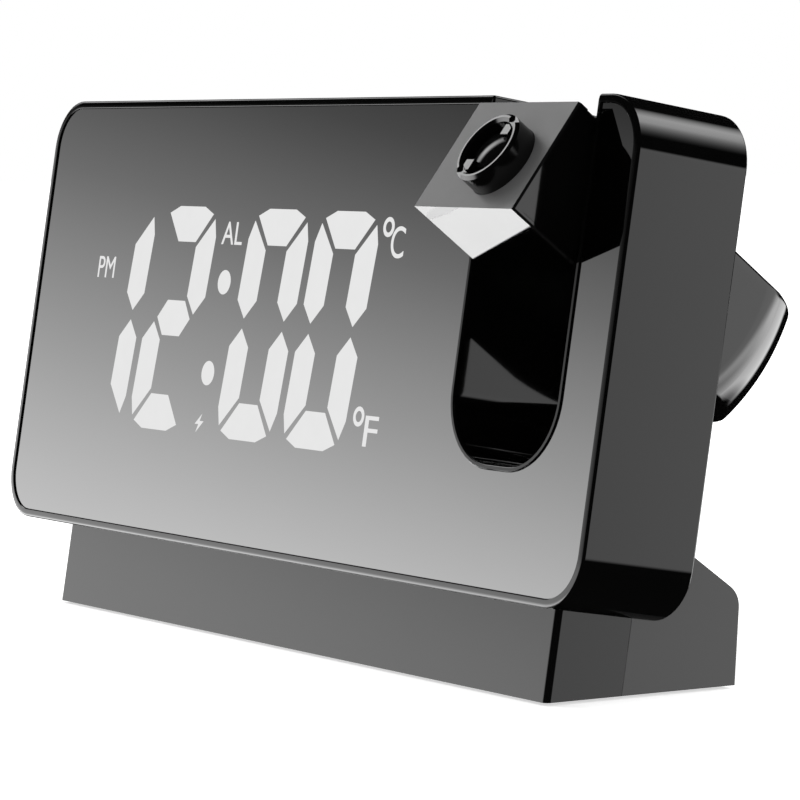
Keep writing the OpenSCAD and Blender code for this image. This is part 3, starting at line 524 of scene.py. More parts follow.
class Finishes:
    """Every finish of the clock, by the record's material slot or by use."""

    HOUSING = Finish("housing_gloss", grey(0.002), rough=0.05, ior=1.6, mottle=0.25, patch=40)
    PANEL = Finish("panel_mirror", grey(0.3), rough=0.03, metal=1.0, mottle=0.02, patch=120)
    ARM = Finish("arm_gloss", grey(0.002), rough=0.05, ior=1.72, mottle=0.2, patch=25)
    PLATE = Finish("plate_polished", grey(0.86), rough=0.035, metal=1.0, mottle=0.015, patch=9)
    FACE = Finish(
        "face_satin", grey(0.15), rough=0.42, mottle=0.03, patch=6, grain=0.15, height=0.6
    )
    BARREL = Finish("barrel_gloss", grey(0.002), rough=0.14, ior=1.5, mottle=0.2, patch=5)
    COVER = Finish("cover_spark", grey(0.03), rough=0.42, mottle=0.15, grain=0.35, height=5)
    KEY = Finish("key_satin", grey(0.05), rough=0.34, mottle=0.15, grain=0.25, height=2)
    STAND = Finish("stand_gloss", grey(0.003), rough=0.07, ior=1.6, mottle=0.2, patch=50)
    # Rear block: the stand's plastic, rougher and with a lighter base colour. The lighter colour is painted light,
    # so that its side reads lighter than the plinth's.
    BLOCK_PAINTED_LIGHTER = Finish("block_satin_painted_lighter", grey(0.04), rough=0.12, ior=1.6, mottle=0.08, patch=50)
    RUBBER = Finish("foot_rubber", grey(0.02), rough=0.75, mottle=0.25, grain=0.5, height=12)
    MASK = Finish("mask_matt", grey(0.012), rough=0.6, grain=0.3, height=4)
    DIFFUSER = Finish("diffuser_white", grey(0.85), rough=0.5, mottle=0.05, grain=0.3, height=3)
    LIT = LitFinish("segment_lit", grey(0.02), rough=0.6)
    LED = Finish("led_resin", (0.85, 0.8, 0.55), rough=0.3, mottle=0.1, grain=0.3, height=2)
    BOARD = BoardFinish("board_mask", (0.012, 0.16, 0.06), rough=0.3, grain=0.8, height=6)
    CHIP = Finish("chip_resin", grey(0.03), rough=0.5, mottle=0.3, grain=0.2, height=4)
    NICKEL = Finish("nickel_plate", grey(0.7, 0.02), rough=0.24, metal=1.0, grain=0.2, height=1)
    STEEL = Finish(
        "screw_steel", grey(0.5), rough=0.3, metal=1.0, mottle=0.15, patch=3, grain=0.1, height=1,
        stretch=(1, 0.2, 1),
    )
    CAN = Finish("capacitor_sleeve", (0.06, 0.08, 0.25), rough=0.35, coat=0.4, grain=0.5, height=2)
    SLEEVE = SleeveFinish("cell_sleeve", (0.25, 0.27, 0.3), rough=0.28, coat=0.6)
    ACETAL = Finish("pin_acetal", grey(0.72, 0.04), rough=0.38, mottle=0.05, grain=0.4, height=2)
    GLASS = ClearFinish("lens_clear", grey(0.95), rough=0.02, ior=1.49, mottle=0.01, coat=0.3)
    # Front lens as an opaque near-black gloss: painted shade for the dark inside of the cell behind the clear
    # lens.
    PAINTED_DARK_LENS = Finish("lens_painted_dark", grey(0.003), rough=0.08, ior=1.4, mottle=0.1, patch=4)

    BY_SLOT = {
        "black_plastic": ARM,
        "mirror_panel": PANEL,
        "cover_plastic": COVER,
        "mask_plastic": MASK,
        "diffuser": DIFFUSER,
        "led_body": LED,
        "circuit_board": BOARD,
        "chip_resin": CHIP,
        "nickel": NICKEL,
        "capacitor_sleeve": CAN,
        "screw_steel": STEEL,
        "stand_plastic": STAND,
        "foot_rubber": RUBBER,
        "cell_jacket": SLEEVE,
        "pin_acetal": ACETAL,
        "lens_glass": GLASS,
        "plate_grey": PLATE,
    }


# ------------------------------------------------------------------ making pieces


@dataclass(frozen=True)
class Facing:
    """Second finish, for a piece's faces that look one way in its placing, or the opposite too."""

    finish: Finish
    way: Point
    both: bool = False

    def apply(self, piece: bpy.types.Object, placing: Placing) -> None:
        """Adds the finish to the piece and gives it to the faces that look its way.

        Args:
            piece: Piece that already has its main finish.
            placing: Where the piece's millimetres lie in the frame.
        """
        piece.data.materials.append(self.finish.material())
        way = (placing.matrix().to_3x3() @ Vector(self.way)).normalized()
        for face in piece.data.polygons:
            aligned = face.normal.dot(way)
            if max(aligned, -aligned if self.both else 0) > ALIGNED:
                face.material_index = len(piece.data.materials) - 1


@dataclass(frozen=True)
class Piece:
    """How one finished piece is named, tied to the frame, dressed and finished off."""

    name: str
    body: Body
    finish: Finish
    slot: str
    stands_for: tuple[str, ...] = ()
    bevel: float = 0.0
    rounds: int = 2
    sharp: float = 34.0
    facing: tuple[Facing, ...] = ()

    def make(
        self, shape: Shape, placing: Placing = WORLD, cuts: tuple[Shape, ...] = ()
    ) -> bpy.types.Object:
        """Builds, cuts, merges, dresses and ties the piece.

        Args:
            shape: The surface, in the placing's millimetres.
            placing: Where those millimetres lie in the frame.
            cuts: Closed shapes taken out of the surface.

        Returns:
            The finished object.
        """
        piece = self.solid(self.name, shape, placing)
        for number, cut in enumerate(cuts):
            tool = self.solid(f"{self.name}_cut_{number}", cut, placing)
            step = piece.modifiers.new("cut", "BOOLEAN")
            step.object, step.operation, step.solver = tool, "DIFFERENCE", "EXACT"
            ready = piece.evaluated_get(bpy.context.evaluated_depsgraph_get())
            mesh = bpy.data.meshes.new_from_object(ready)
            piece.modifiers.clear()
            piece.data = mesh
            bpy.data.objects.remove(tool)
        piece.data.name = self.name
        piece.data.materials.clear()
        piece.data.materials.append(self.finish.material())
        for facing in self.facing:
            facing.apply(piece, placing)
        piece.data.shade_smooth()
        piece.data.set_sharp_from_angle(angle=math.radians(self.sharp))
        if self.bevel:
            round_off = piece.modifiers.new("edges", "BEVEL")
            round_off.width, round_off.segments = self.bevel * MM, self.rounds
            round_off.limit_method, round_off.angle_limit = "ANGLE", math.radians(self.sharp)
        normals = piece.modifiers.new("normals", "WEIGHTED_NORMAL")
        normals.keep_sharp = True
        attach(piece, self.body.value)
        if self.stands_for:
            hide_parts(*self.stands_for)
        LOG.info("%s: %d faces on %s", self.name, len(piece.data.polygons), self.body.value)
        return piece

    @staticmethod
    def solid(name: str, shape: Shape, placing: Placing) -> bpy.types.Object:
        """Closed mesh object with merged doubles and outward faces.

        Args:
            name: Name of the object.
            shape: The surface in millimetres.
            placing: Where the millimetres lie in the frame.

        Returns:
            The object, whose own place is the frame's origin.
        """
        move = np.array(placing.matrix())
        points = shape.points @ move[:3, :3].T + move[:3, 3]
        mesh = bpy.data.meshes.new(name)
        mesh.from_pydata(points.tolist(), [], shape.faces)
        work = bmesh.new()
        work.from_mesh(mesh)
        bmesh.ops.remove_doubles(work, verts=work.verts, dist=MERGE)
        bmesh.ops.recalc_face_normals(work, faces=work.faces)
        work.to_mesh(mesh)
        work.free()
        made = bpy.data.objects.new(name, mesh)
        bpy.context.scene.collection.objects.link(made)
        return made


# ------------------------------------------------------------------ case


@dataclass
class Case:
    """Leaning housing with its slot, mirror panel, back cover and snooze bar.

    The bevel is how far the front's edge is drawn in and how far back that reaches. The ledge that
    carries the panel is ledge_wide in from the wall and ends ledge_back behind the panel. The
    snooze opening is its lowest and highest x, then its lowest and highest y, and past is how far
    below and above the top wall its cutter runs.
    """

    width: float = 190.0
    height: float = 80.4
    depth: float = 21.5
    corner: float = 9.0
    slot_left: float = 53.9
    slot_right: float = 82.8
    slot_floor: float = 21.0
    slot_corner: float = 11.5
    mouth: float = 0.5
    rim: float = 1.4
    slot_rim: float = 0.8
    wall: float = 1.8
    slot_wall: float = 1.6
    edge: float = 0.4
    bevel: Span = (0.45, 0.1)
    slot_edge: float = 0.22
    panel_front: float = 0.3
    panel_back: float = 1.8
    panel_gap: float = 0.03
    chamfer: float = 0.08
    ledge_wide: float = 3.0
    ledge_back: float = 1.6
    seat_gap: float = 0.05
    lip_ease: float = 0.08
    pin: float = 3.06
    pin_past: float = 4.0
    snooze: Box = (-44.7, 11.5, 7.9, 17.1)
    snooze_corner: float = 2.0
    past: Span = (1.0, 2.0)

    def loop(self, outer: float, inner: float) -> np.ndarray:
        """Notched outline of the case.

        Args:
            outer: Inset of the outside edges.
            inner: Inset of the slot's edges.

        Returns:
            Loop of x, z pairs.
        """
        half, top = self.width / 2, self.height
        left, right, floor = self.slot_left, self.slot_right, self.slot_floor
        corners = [[-half, 0], [half, 0], [half, top], [right, top]]
        corners += [[right, floor], [left, floor], [left, top], [-half, top]]
        rounds = [self.corner] * 3 + [self.mouth] + [self.slot_corner] * 2
        rounds += [self.mouth, self.corner]
        insets = [outer] * 3 + [inner] * 3 + [outer] * 2
        return outline(np.array(corners, float), np.array(rounds), np.array(insets))

    def wall_rings(self) -> np.ndarray:
        """Section of the wall carried round the outline.

        The section runs from a shallow bevel round the front over its round and the outside to the
        back edge's round, then forward along the inside to the ledge behind the panel and out to
        the rim again. A round's point at angle b lies its radius times one less cosine b in, and
        times one less sine b back.

        Returns:
            Rings of points, the last of which meets the first.
        """
        turn = np.linspace(np.pi / 2, 0, 5)
        lead, fall = 1 - np.cos(turn), 1 - np.sin(turn)
        wide, deep = self.bevel
        rounded = [(self.edge * a, self.slot_edge * a, self.edge * b) for a, b in zip(lead, fall)]
        back = [(o, i, self.depth - y) for o, i, y in reversed(rounded)]
        front = [(rounded[0][0] + wide, rounded[0][1], 0.0)]
        front += [(o, i, y + deep) for o, i, y in rounded]
        ledge, seat = self.panel_back + self.ledge_back, self.panel_back + self.seat_gap
        outer, inner = self.wall + self.ledge_wide, self.slot_wall + self.ledge_wide
        inside = [
            (self.wall, self.slot_wall, self.depth),
            (self.wall, self.slot_wall, ledge),
            (outer, inner, ledge),
            (outer, inner, seat),
            (self.rim, self.slot_rim, seat),
            (self.rim, self.slot_rim, self.lip_ease),
            (self.rim - self.lip_ease, self.slot_rim - self.lip_ease, 0.0),
        ]
        return np.stack([flat(self.loop(o, i), y) for o, i, y in front + back + inside])

    def panel_rings(self) -> np.ndarray:
        """Panel's edge: a small chamfer in front and a straight side.

        Returns:
            Rings of points from front to back.
        """
        gap, face, cut = self.panel_gap, self.panel_front, self.chamfer
        outer, inner = self.rim + gap, self.slot_rim + gap
        steps = ((outer + cut, inner + cut, face), (outer, inner, face + cut))
        steps += ((outer, inner, self.panel_back),)
        return np.stack([flat(self.loop(o, i), y) for o, i, y in steps])

    def build(self) -> None:
        """Makes the housing, the panel, the cover and the snooze bar."""
        place, pivot = LAYOUT.case(), LAYOUT.pivot
        x0, x1, y0, y1 = self.snooze
        opening = box_loop((x0, x1), (y0, y1), self.snooze_corner)
        heights = (self.height - self.wall - self.past[0], self.height + self.past[1])
        rings = [np.column_stack([opening, np.full(len(opening), z)]) for z in heights]
        pin = rod(self.pin, self.slot_left - self.pin_past, self.slot_right + self.pin_past, 48)
        # A swap of x and y lays the rod across the slot.
        bore = Shape(pin.points[:, [1, 0, 2]] + np.array([0, pivot.y, pivot.z]), pin.faces)
        Piece("housing", Body.CLOCK, Finishes.HOUSING, "black_plastic", ("case_shell",)).make(
            loft(self.wall_rings(), closed=True), place, (loft(np.stack(rings)), bore)
        )
        Piece("mirror_panel", Body.CLOCK, Finishes.PANEL, "mirror_panel", ("front_panel",)).make(
            loft(self.panel_rings()), place
        )
        Piece(
            "rear_cover", Body.CLOCK, Finishes.COVER, "cover_plastic", ("back_cover",), bevel=0.12
        ).make(cad_copy("back_cover"))
        Piece(
            "snooze_key_bar", Body.SNOOZE, Finishes.KEY, "cover_plastic",
            ("snooze_bar",), bevel=0.25,
        ).make(cad_copy("snooze_bar"))


# ------------------------------------------------------------------ display


class Stroke(Enum):
    """Strokes of a seven-stroke digit."""

    TOP = "top"
    UPPER_RIGHT = "upper_right"
    LOWER_RIGHT = "lower_right"
    BOTTOM = "bottom"
    LOWER_LEFT = "lower_left"
    UPPER_LEFT = "upper_left"
    MIDDLE = "middle"


DIGITS: dict[str, tuple[Stroke, ...]] = {
    "0": tuple(s for s in Stroke if s is not Stroke.MIDDLE),
    "1": (Stroke.UPPER_RIGHT, Stroke.LOWER_RIGHT),
    "2": (Stroke.TOP, Stroke.UPPER_RIGHT, Stroke.MIDDLE, Stroke.LOWER_LEFT, Stroke.BOTTOM),
}


@dataclass
class Display:
    """Lit digits, colon and small signs that shine through the panel.

    A word has the box that it fills and how much fatter than its font it is. A unit has its
    letter's box and its degree sign's middle.
    """

    reading: str = "1200"
    centre: Span = (-24.6, 40.2)
    half_w: float = 10.05
    half_h: float = 20.55
    stroke: float = 6.5
    gap: float = 0.9
    cut: float = 1.3
    slant: float = 0.085
    pitch: float = 22.4
    colon_space: float = 9.2
    dot: float = 2.2
    dot_heights: Span = (7.1, -9.35)
    degree_ring: Span = (1.7, 0.75)
    front: float = 0.27
    back: float = 0.6
    words: tuple[tuple[str, Box, float], ...] = (
        ("PM", (-71.2, 46.8, -64.9, 50.8), 0.0),
        ("AL", (-26.9, 54.1, -19.8, 58.2), 0.015),
    )
    units: tuple[tuple[str, Box, Span], ...] = (
        ("celsius", (28.9, 53.1, 33.0, 58.5), (27.6, 58.3)),
        ("fahrenheit", (28.4, 21.3, 32.5, 26.5), (26.2, 26.2)),
    )
    bolt: Profile = (
        (-25.4, 23.5), (-27.6, 21.6), (-26.3, 21.6), (-27.0, 20.1), (-24.6, 22.2), (-26.0, 22.2),
    )

    def strokes(self) -> dict[Stroke, np.ndarray]:
        """Outline of each stroke about a digit's middle.

        Returns:
            Loop of x, z pairs for each stroke.
        """
        w, h, s, g, c = self.half_w, self.half_h, self.stroke, self.gap, self.cut
        side = [[w, h - c - g - s / 2], [w - c, h - c - g], [w - s, h - s - g]]
        side += [[w - s, s / 2 + g], [w - s / 2, g], [w, s / 2 + g]]
        top = [[w - s + g, h], [-w + s - g, h], [-w + c + g, h - c]]
        top += [[-w + s + g / 2, h - s], [w - s - g / 2, h - s], [w - c - g, h - c]]
        mid = [[w - s / 2 - g, 0], [w - s - g / 2, s / 2], [-w + s + g / 2, s / 2]]
        mid += [[-w + s / 2 + g, 0], [-w + s + g / 2, -s / 2], [w - s - g / 2, -s / 2]]
        side, top, mid = np.array(side), np.array(top), np.array(mid)
        return {
            Stroke.TOP: top,
            Stroke.UPPER_RIGHT: side,
            Stroke.LOWER_RIGHT: side * (1, -1),
            Stroke.BOTTOM: top * (1, -1),
            Stroke.LOWER_LEFT: side * (-1, -1),
            Stroke.UPPER_LEFT: side * (-1, 1),
            Stroke.MIDDLE: mid,
        }

    def lean(self, loop: np.ndarray, x: float) -> np.ndarray:
        """A digit's loop leaned by the slant and moved to its place."""
        across = self.centre[0] + x + loop[:, 0] + self.slant * loop[:, 1]
        return np.stack([across, self.centre[1] + loop[:, 1]], -1)

    def cell(self, name: str, shape: Shape) -> None:
        """One lit piece on the panel."""
        Piece(name, Body.CLOCK, Finishes.LIT, "diffuser").make(shape, LAYOUT.case())

    def letters(self, text: str, box: Box, weight: float = 0.015) -> Shape:
        """Text stretched to fill a box on the panel.

        Args:
            text: The letters.
            box: Lowest x and z, then highest x and z.
            weight: How much fatter than a font of size 10.

        Returns:
            The letters as a thin slab.
        """
        curve = bpy.data.curves.new("lettering", "FONT")
        curve.body, curve.extrude, curve.size, curve.offset = text, 1.0, 10.0, weight
        holder = bpy.data.objects.new("lettering", curve)
        bpy.context.scene.collection.objects.link(holder)
        bpy.context.view_layer.update()
        mesh = bpy.data.meshes.new_from_object(holder)
        flat_points = np.array([v.co for v in mesh.vertices])
        faces = [list(p.vertices) for p in mesh.polygons]
        bpy.data.objects.remove(holder)
        low, high = flat_points.min(0), flat_points.max(0)
        share = (flat_points - low) / (high - low)
        x = box[0] + share[:, 0] * (box[2] - box[0])
        z = box[1] + share[:, 1] * (box[3] - box[1])
        y = self.back + share[:, 2] * (self.front - self.back)
        return Shape(np.stack([x, y, z], -1), faces)

    def degree(self, x: float, z: float) -> Shape:
        """Small ring of a degree sign.

        Args:
            x: Across, to its middle.
            z: Up, to its middle.

        Returns:
            The turned ring.
        """
        radius, line = self.degree_ring
        section = [(radius, self.front), (radius, self.back), (radius - line, self.back)]
        section += [(radius - line, self.front)]
        return revolve(section, 40).moved(x, 0, z)

    def build(self) -> None:
        """Makes the digits, the colon and the signs."""
        strokes = self.strokes()
        for place, figure in enumerate(self.reading):
            side = -1 if place < 2 else 1
            x = (place - 1.5) * self.pitch + side * self.colon_space / 2
            loops = [self.lean(strokes[s], x) for s in DIGITS[figure]]
            shapes = [prism(loop, self.front, self.back) for loop in loops]
            self.cell(f"digit_{place}", joined(shapes))
        for name, height in zip(("upper", "lower"), self.dot_heights):
            dot = rod(self.dot, self.front, self.back, 48)
            x = self.centre[0] + self.slant * height
            self.cell(f"colon_{name}", dot.moved(x, 0, self.centre[1] + height))
        for text, box, weight in self.words:
            self.cell(f"sign_{text.lower()}", self.letters(text, box, weight))
        for unit, box, spot in self.units:
            self.cell(f"sign_{unit}", self.letters(unit[0].upper(), box) + self.degree(*spot))
        self.cell("sign_bolt", prism(np.array(self.bolt), self.front, self.back))


# ------------------------------------------------------------------ projector arm


@dataclass
class Arm:
    """Pivoting arm: a bar whose tail is the slot's U turned about the pivot, and its lens end.

    The lens end's opening is hole in the plate and bore behind it. The cutters run past the plate's
    front by past and past its back by hole_past, and the ledge cut for the lip is ledge_gap longer
    and higher than the lip.
    """

    width: float = 27.9
    thick: float = 20.8
    mid: float = -1.0
    reach: float = 21.8
    plate: float = 2.0
    lip: float = 17.0
    lip_thick: float = 0.8
    plate_bevel: float = 0.35
    tail: float = 38.5
    tail_round: float = 11.0
    edge: float = 0.5
    bore: float = 7.15
    bore_end: float = 3.6
    hole: float = 6.56
    past: float = 2.0
    hole_past: float = 1.0
    ledge_gap: Span = (0.02, 0.05)

    def tail_depth(self, loop: np.ndarray) -> np.ndarray:
        """Depth of the tail's surface under a loop of x, z pairs.

        The U's half-width w sets a radius about the pivot: the tail's length over the flat part,
        then the length less the corner plus a quarter circle's height. Depth is the root of that
        radius squared less z squared.

        Args:
            loop: The x, z pairs.

        Returns:
            A depth for each pair.
        """
        flat_half = self.width / 2 - self.tail_round
        past = np.clip(np.abs(loop[:, 0]) - flat_half, 0, self.tail_round)
        radius = self.tail - self.tail_round + np.sqrt(self.tail_round**2 - past**2)
        return np.sqrt(radius**2 - loop[:, 1] ** 2)

    def section(self, half_x: float, half_z: float, corner: float) -> np.ndarray:
        """Rounded rectangle whose long sides are sampled by the cosine law.

        Args:
            half_x: Half of its width.
            half_z: Half of its height.
            corner: Radius of its corners.

        Returns:
            Loop of x, z pairs.
        """
        across = np.cos(np.linspace(0, np.pi, 40)) * (half_x - corner)
        up = np.linspace(1, -1, 16) * (half_z - corner)
        turn = np.linspace(0, np.pi / 2, 6)[1:-1]
        sides = []
        for start, line in enumerate(("top", "left", "bottom", "right")):
            sign = 1 if line in ("top", "left") else -1
            if line in ("top", "bottom"):
                sides.append(np.stack([sign * across, np.full(40, sign * half_z)], -1))
            else:
                sides.append(np.stack([np.full(16, -sign * half_x), sign * up], -1))
            angle = turn + np.pi / 2 * (start + 1)
            centre = np.array([-1 if start in (0, 1) else 1, 1 if start in (0, 3) else -1])
            middle = centre * (half_x - corner, half_z - corner)
            sides.append(middle + corner * np.stack([np.cos(angle), np.sin(angle)], -1))
        return np.vstack(sides)

    def shell(self) -> Shape:
        """Bar and tail as one skin.

        Rings run from the lens end to the tail's rim, round the rim over a quarter circle, and
        then draw in to the middle of the tail by the sine law.

        Returns:
            The skin, closed at both ends.
        """
        half_x, half_z, e = self.width / 2, self.thick / 2, self.edge
        middle = np.array([0.0, self.mid])
        start = -self.reach + self.plate
        rings = [flat(self.section(half_x, half_z, e) + middle, start)]
        for turn in np.linspace(0, np.pi / 2, 5):
            draw = e * (1 - math.cos(turn))
            loop = self.section(half_x - draw, half_z - draw, e) + middle
            rings.append(flat(loop, self.tail_depth(loop) - e * (1 - math.sin(turn))))
        for turn in np.linspace(np.pi / 2, 0.02, 18)[1:]:
            share = math.sin(turn)
            loop = self.section((half_x - e) * share, (half_z - e) * share, e * share) + middle
            rings.append(flat(loop, self.tail_depth(loop)))
        return loft(np.stack(rings))

    def lens_plate(self) -> Shape:
        """Plate over the lens end with its lip along the underside: one L carried across.

        The L is drawn in at both ends, which cuts a bevel along the face and the lip.

        Returns:
            The plate without its hole.
        """
        front, back, tip = -self.reach, -self.reach + self.plate, -self.reach + self.lip
        low, high = self.mid - self.thick / 2, self.mid + self.thick / 2
        step = low + self.lip_thick
        side = [[front, low], [tip, low], [tip, step], [back, step], [back, high], [front, high]]
        inner = np.maximum(side, np.array([front, low]) + self.plate_bevel)
        half, full = self.width / 2, self.width / 2 - self.plate_bevel
        ends = ((-half, inner), (-full, np.array(side)), (full, np.array(side)), (half, inner))
        return loft(np.stack([np.column_stack([np.full(len(part), x), part]) for x, part in ends]))

    def build(self) -> None:
        """Makes the arm's shell and its lens plate."""
        place, lens, past = LAYOUT.arm(), LAYOUT.lens, self.past
        front, low = -self.reach, self.mid - self.thick / 2
        longer, higher = self.ledge_gap
        bore = rod(self.bore, front - past, self.bore_end).moved(lens.x, 0, lens.z)
        across, along = (-self.width, self.width), (front, front + self.lip + longer)
        ledge = block(across, along, (low - past, low + self.lip_thick + higher))
        Piece("arm_body", Body.ARM, Finishes.ARM, "black_plastic", ("arm_shell",)).make(
            self.shell(), place, (bore, ledge)
        )
        hole = rod(self.hole, front - past, front + self.plate + self.hole_past)
        Piece(
            "lens_plate", Body.ARM, Finishes.PLATE, "plate_grey", ("lens_face_plate",),
            facing=(Facing(Finishes.ARM, (1, 0, 0), both=True), Facing(Finishes.FACE, (0, -1, 0))),
        ).make(self.lens_plate(), place, (hole.moved(lens.x, 0, lens.z),))


@dataclass
class Lens:
    """Focus ring with two finger notches, the lens cell inside it and the lens.

    Depths are from the pivot. The lens lies in a seat behind the cell's front, and its crown is
    carried well forward, which is a form for looks and not for focus. The lugs sink into the cell's
    front, and what of them lies outside lug_reach is trimmed off.
    """

    ring: float = 6.5
    bore: float = 5.1
    front: float = -25.9
    back: float = -18.5
    flange: float = 7.1
    flange_front: float = -19.7
    chamfer: float = 0.5
    notch_wide: float = 2.4
    notch_deep: float = 0.5
    notch_turn: float = -60.0
    lug: Span = (2.35, 3.45)
    lug_half: Span = (1.05, 1.0)
    lug_front: float = -25.6
    lug_sink: float = 0.3
    lug_reach: float = 4.95
    trim_wide: float = 3.0
    trim_front: float = 2.0
    trim_back: float = 4.0
    past: float = 1.0
    cell_front: float = -23.9
    seat: float = 1.0
    glass: float = 3.9
    glass_edge: float = 1.0
    glass_sag: float = 1.0
    crown: float = 3.35
    crown_front: float = -24.7
    sag: float = 0.5

    def glass_shape(self) -> Shape:
        """Lens with its rim in the seat, a dome behind and its crown carried forward.

        A dome's height at a share p of its radius is its sag times one less p squared.

        Returns:
            The turned lens.
        """
        shares = np.linspace(0.02, 1, 12)
        seat = self.cell_front + self.seat
        rim = seat + self.glass_edge
        back = [(self.glass * p, rim + self.glass_sag * (1 - p**2)) for p in shares]
        front = [(self.crown * p, self.crown_front - self.sag * (1 - p**2)) for p in shares[::-1]]
        return revolve(back + [(self.glass, seat), (self.crown, seat)] + front, 96, closed=False)

    def lugs(self) -> Shape:
        """Two square lugs in front of the lens cell, on opposite sides of its axis.

        Returns:
            Both lugs, before their outer ends are trimmed.
        """
        (x, z), (wide, high) = self.lug, self.lug_half
        depth = (self.lug_front, self.cell_front + self.lug_sink)
        one = block((x - wide, x + wide), depth, (z - high, z + high))
        return one + block((-x - wide, -x + wide), depth, (-z - high, -z + high))

    def build(self) -> None:
        """Makes the ring, the cell, its lugs and the lens."""
        place, past, half = LAYOUT.optics(), self.past, self.notch_wide / 2
        r, b, f, c = self.ring, self.bore, self.front, self.chamfer
        section = [(b, self.back), (b, f + c), (b + c, f), (r - c, f), (r, f + c)]
        section += [(r, self.flange_front), (self.flange, self.flange_front)]
        section += [(self.flange, self.back)]
        notch = block((-r - past, r + past), (f - past, f + self.notch_deep), (-half, half))
        Piece(
            "focus_ring_body", Body.RING, Finishes.BARREL, "black_plastic",
            ("focus_ring",), bevel=0.1,
        ).make(revolve(section, 128), place, (notch.turned_y(self.notch_turn),))
        Piece(
            "lens_cell_body", Body.CARRIER, Finishes.BARREL, "mask_plastic",
            ("lens_cell",), bevel=0.08,
        ).make(cad_copy("lens_cell"))
        near, far = f - self.trim_front, f + self.trim_back
        inner, outer = self.lug_reach, self.lug_reach + self.trim_wide
        trim = revolve([(inner, near), (inner, far), (outer, far), (outer, near)], 128)
        Piece("lens_cell_lugs", Body.CARRIER, Finishes.BARREL, "mask_plastic", bevel=0.06).make(
            self.lugs(), place, (trim,)
        )
        # The lens wears an opaque near-black finish, which is painted shade for the dark cell behind it.
        Piece(
            "front_lens", Body.CARRIER, Finishes.PAINTED_DARK_LENS, "lens_glass",
            ("projection_lens",), sharp=35,
        ).make(self.glass_shape(), place)


# ------------------------------------------------------------------ stand and rear controls


@dataclass
class Stand:
    """Front plinth, rear block, base plate, door and feet, with their edges eased."""

    edges: dict[str, tuple[str, Body, Finish, str, float]] = field(
        default_factory=lambda: {
            "stand_front": ("front_plinth", Body.CLOCK, Finishes.STAND, "stand_plastic", 0.25),
            # The rear block's base colour is painted lighter than the plinth's: painted light.
            "stand_rear": ("rear_block", Body.CLOCK, Finishes.BLOCK_PAINTED_LIGHTER, "stand_plastic", 0.4),
            "base_plate": ("base_cover", Body.CLOCK, Finishes.COVER, "cover_plastic", 0.15),
            "battery_door": ("battery_lid", Body.DOOR, Finishes.COVER, "cover_plastic", 0.15),
            "rubber_feet": ("feet", Body.CLOCK, Finishes.RUBBER, "foot_rubber", 0.2),
        }
    )

    def build(self) -> None:
        """Makes an eased copy of each part of the stand."""
        for node, (name, body, finish, slot, bevel) in self.edges.items():
            Piece(name, body, finish, slot, (node,), bevel=bevel).make(cad_copy(node))


@dataclass
class Controls:
    """Rear buttons, cover screws with cross recesses, and the power inlet.

    A profile runs outwards in radius and drop below the top, or along a rim in share of the radius
    and drop. The stem and the flange are a radius, or what it adds, and the depths of their ends.
    """

    xs: tuple[float, ...] = (-61.6, -43.6, -25.6, -7.6, 10.4)
    height: float = 57.85
    radius: float = 3.6
    back: float = 22.3
    stem: Span = (2.0, 16.2)
    flange: Point = (1.0, 18.4, 19.6)
    rim: Span = (0.4, 0.12)
    dish: Profile = ((0.6, 0.12), (0.3, 0.26), (0.0, 0.3))
    screw_xs: tuple[float, ...] = (-86.5, 49.0, 88.8)
    screw_zs: Span = (9.5, 71.4)
    head: float = 2.2
    head_back: float = 21.5
    shank: Profile = ((0.0, 7.8), (0.8, 7.8), (1.0, 7.4), (1.0, 0.8))
    pan: Profile = ((1.0, 0.8), (1.0, 0.35), (0.9, 0.12), (0.6, 0.02), (0.0, 0.0))
    cross: Span = (1.25, 0.25)
    cross_deep: float = 0.5
    cross_past: float = 1.0
    cross_turn: float = 25.0

    def button(self) -> Shape:
        """Button: a dished cap with an eased rim over its flange and stem.

        Returns:
            The button on the axis.
        """
        r, top, (stem, start), (wide, low, high) = self.radius, self.back, self.stem, self.flange
        ease, lip = self.rim
        section = [(0.0, start), (stem, start), (stem, low), (r + wide, low), (r + wide, high)]
        section += [(r, high), (r, top - ease), (r - lip, top - lip), (r - ease, top)]
        section += [(r * share, top - drop) for share, drop in self.dish]
        return revolve(section, 64, closed=False)

    def screw(self) -> Shape:
        """Pan head on a plain shank.

        Returns:
            The screw on the axis, without its cross.
        """
        section = [(radius, self.head_back - drop) for radius, drop in self.shank]
        section += [(self.head * share, self.head_back - drop) for share, drop in self.pan]
        return revolve(section, 48, closed=False)

    def build(self) -> None:
        """Makes the five buttons, the six screws and the inlet."""
        place = LAYOUT.case()
        keys = (Body.MODE, Body.SET, Body.UP, Body.DOWN, Body.LAMP)
        for x, key in zip(self.xs, keys):
            name = key.value.removeprefix("key_")
            Piece(
                f"key_cap_{name}", key, Finishes.KEY, "cover_plastic", (f"button_{name}",)
            ).make(self.button().moved(x, 0, self.height), place)
        heads, recesses = [], []
        depth = (self.head_back - self.cross_deep, self.head_back + self.cross_past)
        for number, (x, z) in enumerate((x, z) for x in self.screw_xs for z in self.screw_zs):
            heads.append(self.screw().moved(x, 0, z))
            for wide, high in (self.cross, self.cross[::-1]):
                arm = block((-wide, wide), depth, (-high, high))
                recesses.append(arm.turned_y(self.cross_turn * number).moved(x, 0, z))
        Piece(
            "cover_screw_heads", Body.CLOCK, Finishes.STEEL, "screw_steel", ("cover_screws",)
        ).make(joined(heads), place, (joined(recesses[::2]), joined(recesses[1::2])))
        Piece(
            "inlet_shell", Body.CLOCK, Finishes.NICKEL, "nickel", ("power_inlet",), bevel=0.06
        ).make(cad_copy("power_inlet"))


# ------------------------------------------------------------------ studio


@dataclass(frozen=True)
class Sheet:
    """Soft sheet of light that polished faces show.

    It is a share by bearing times a brightness by height. Bearings are degrees anticlockwise from
    +X, heights sines of the elevation.
    """

    bearings: Profile
    heights: Profile


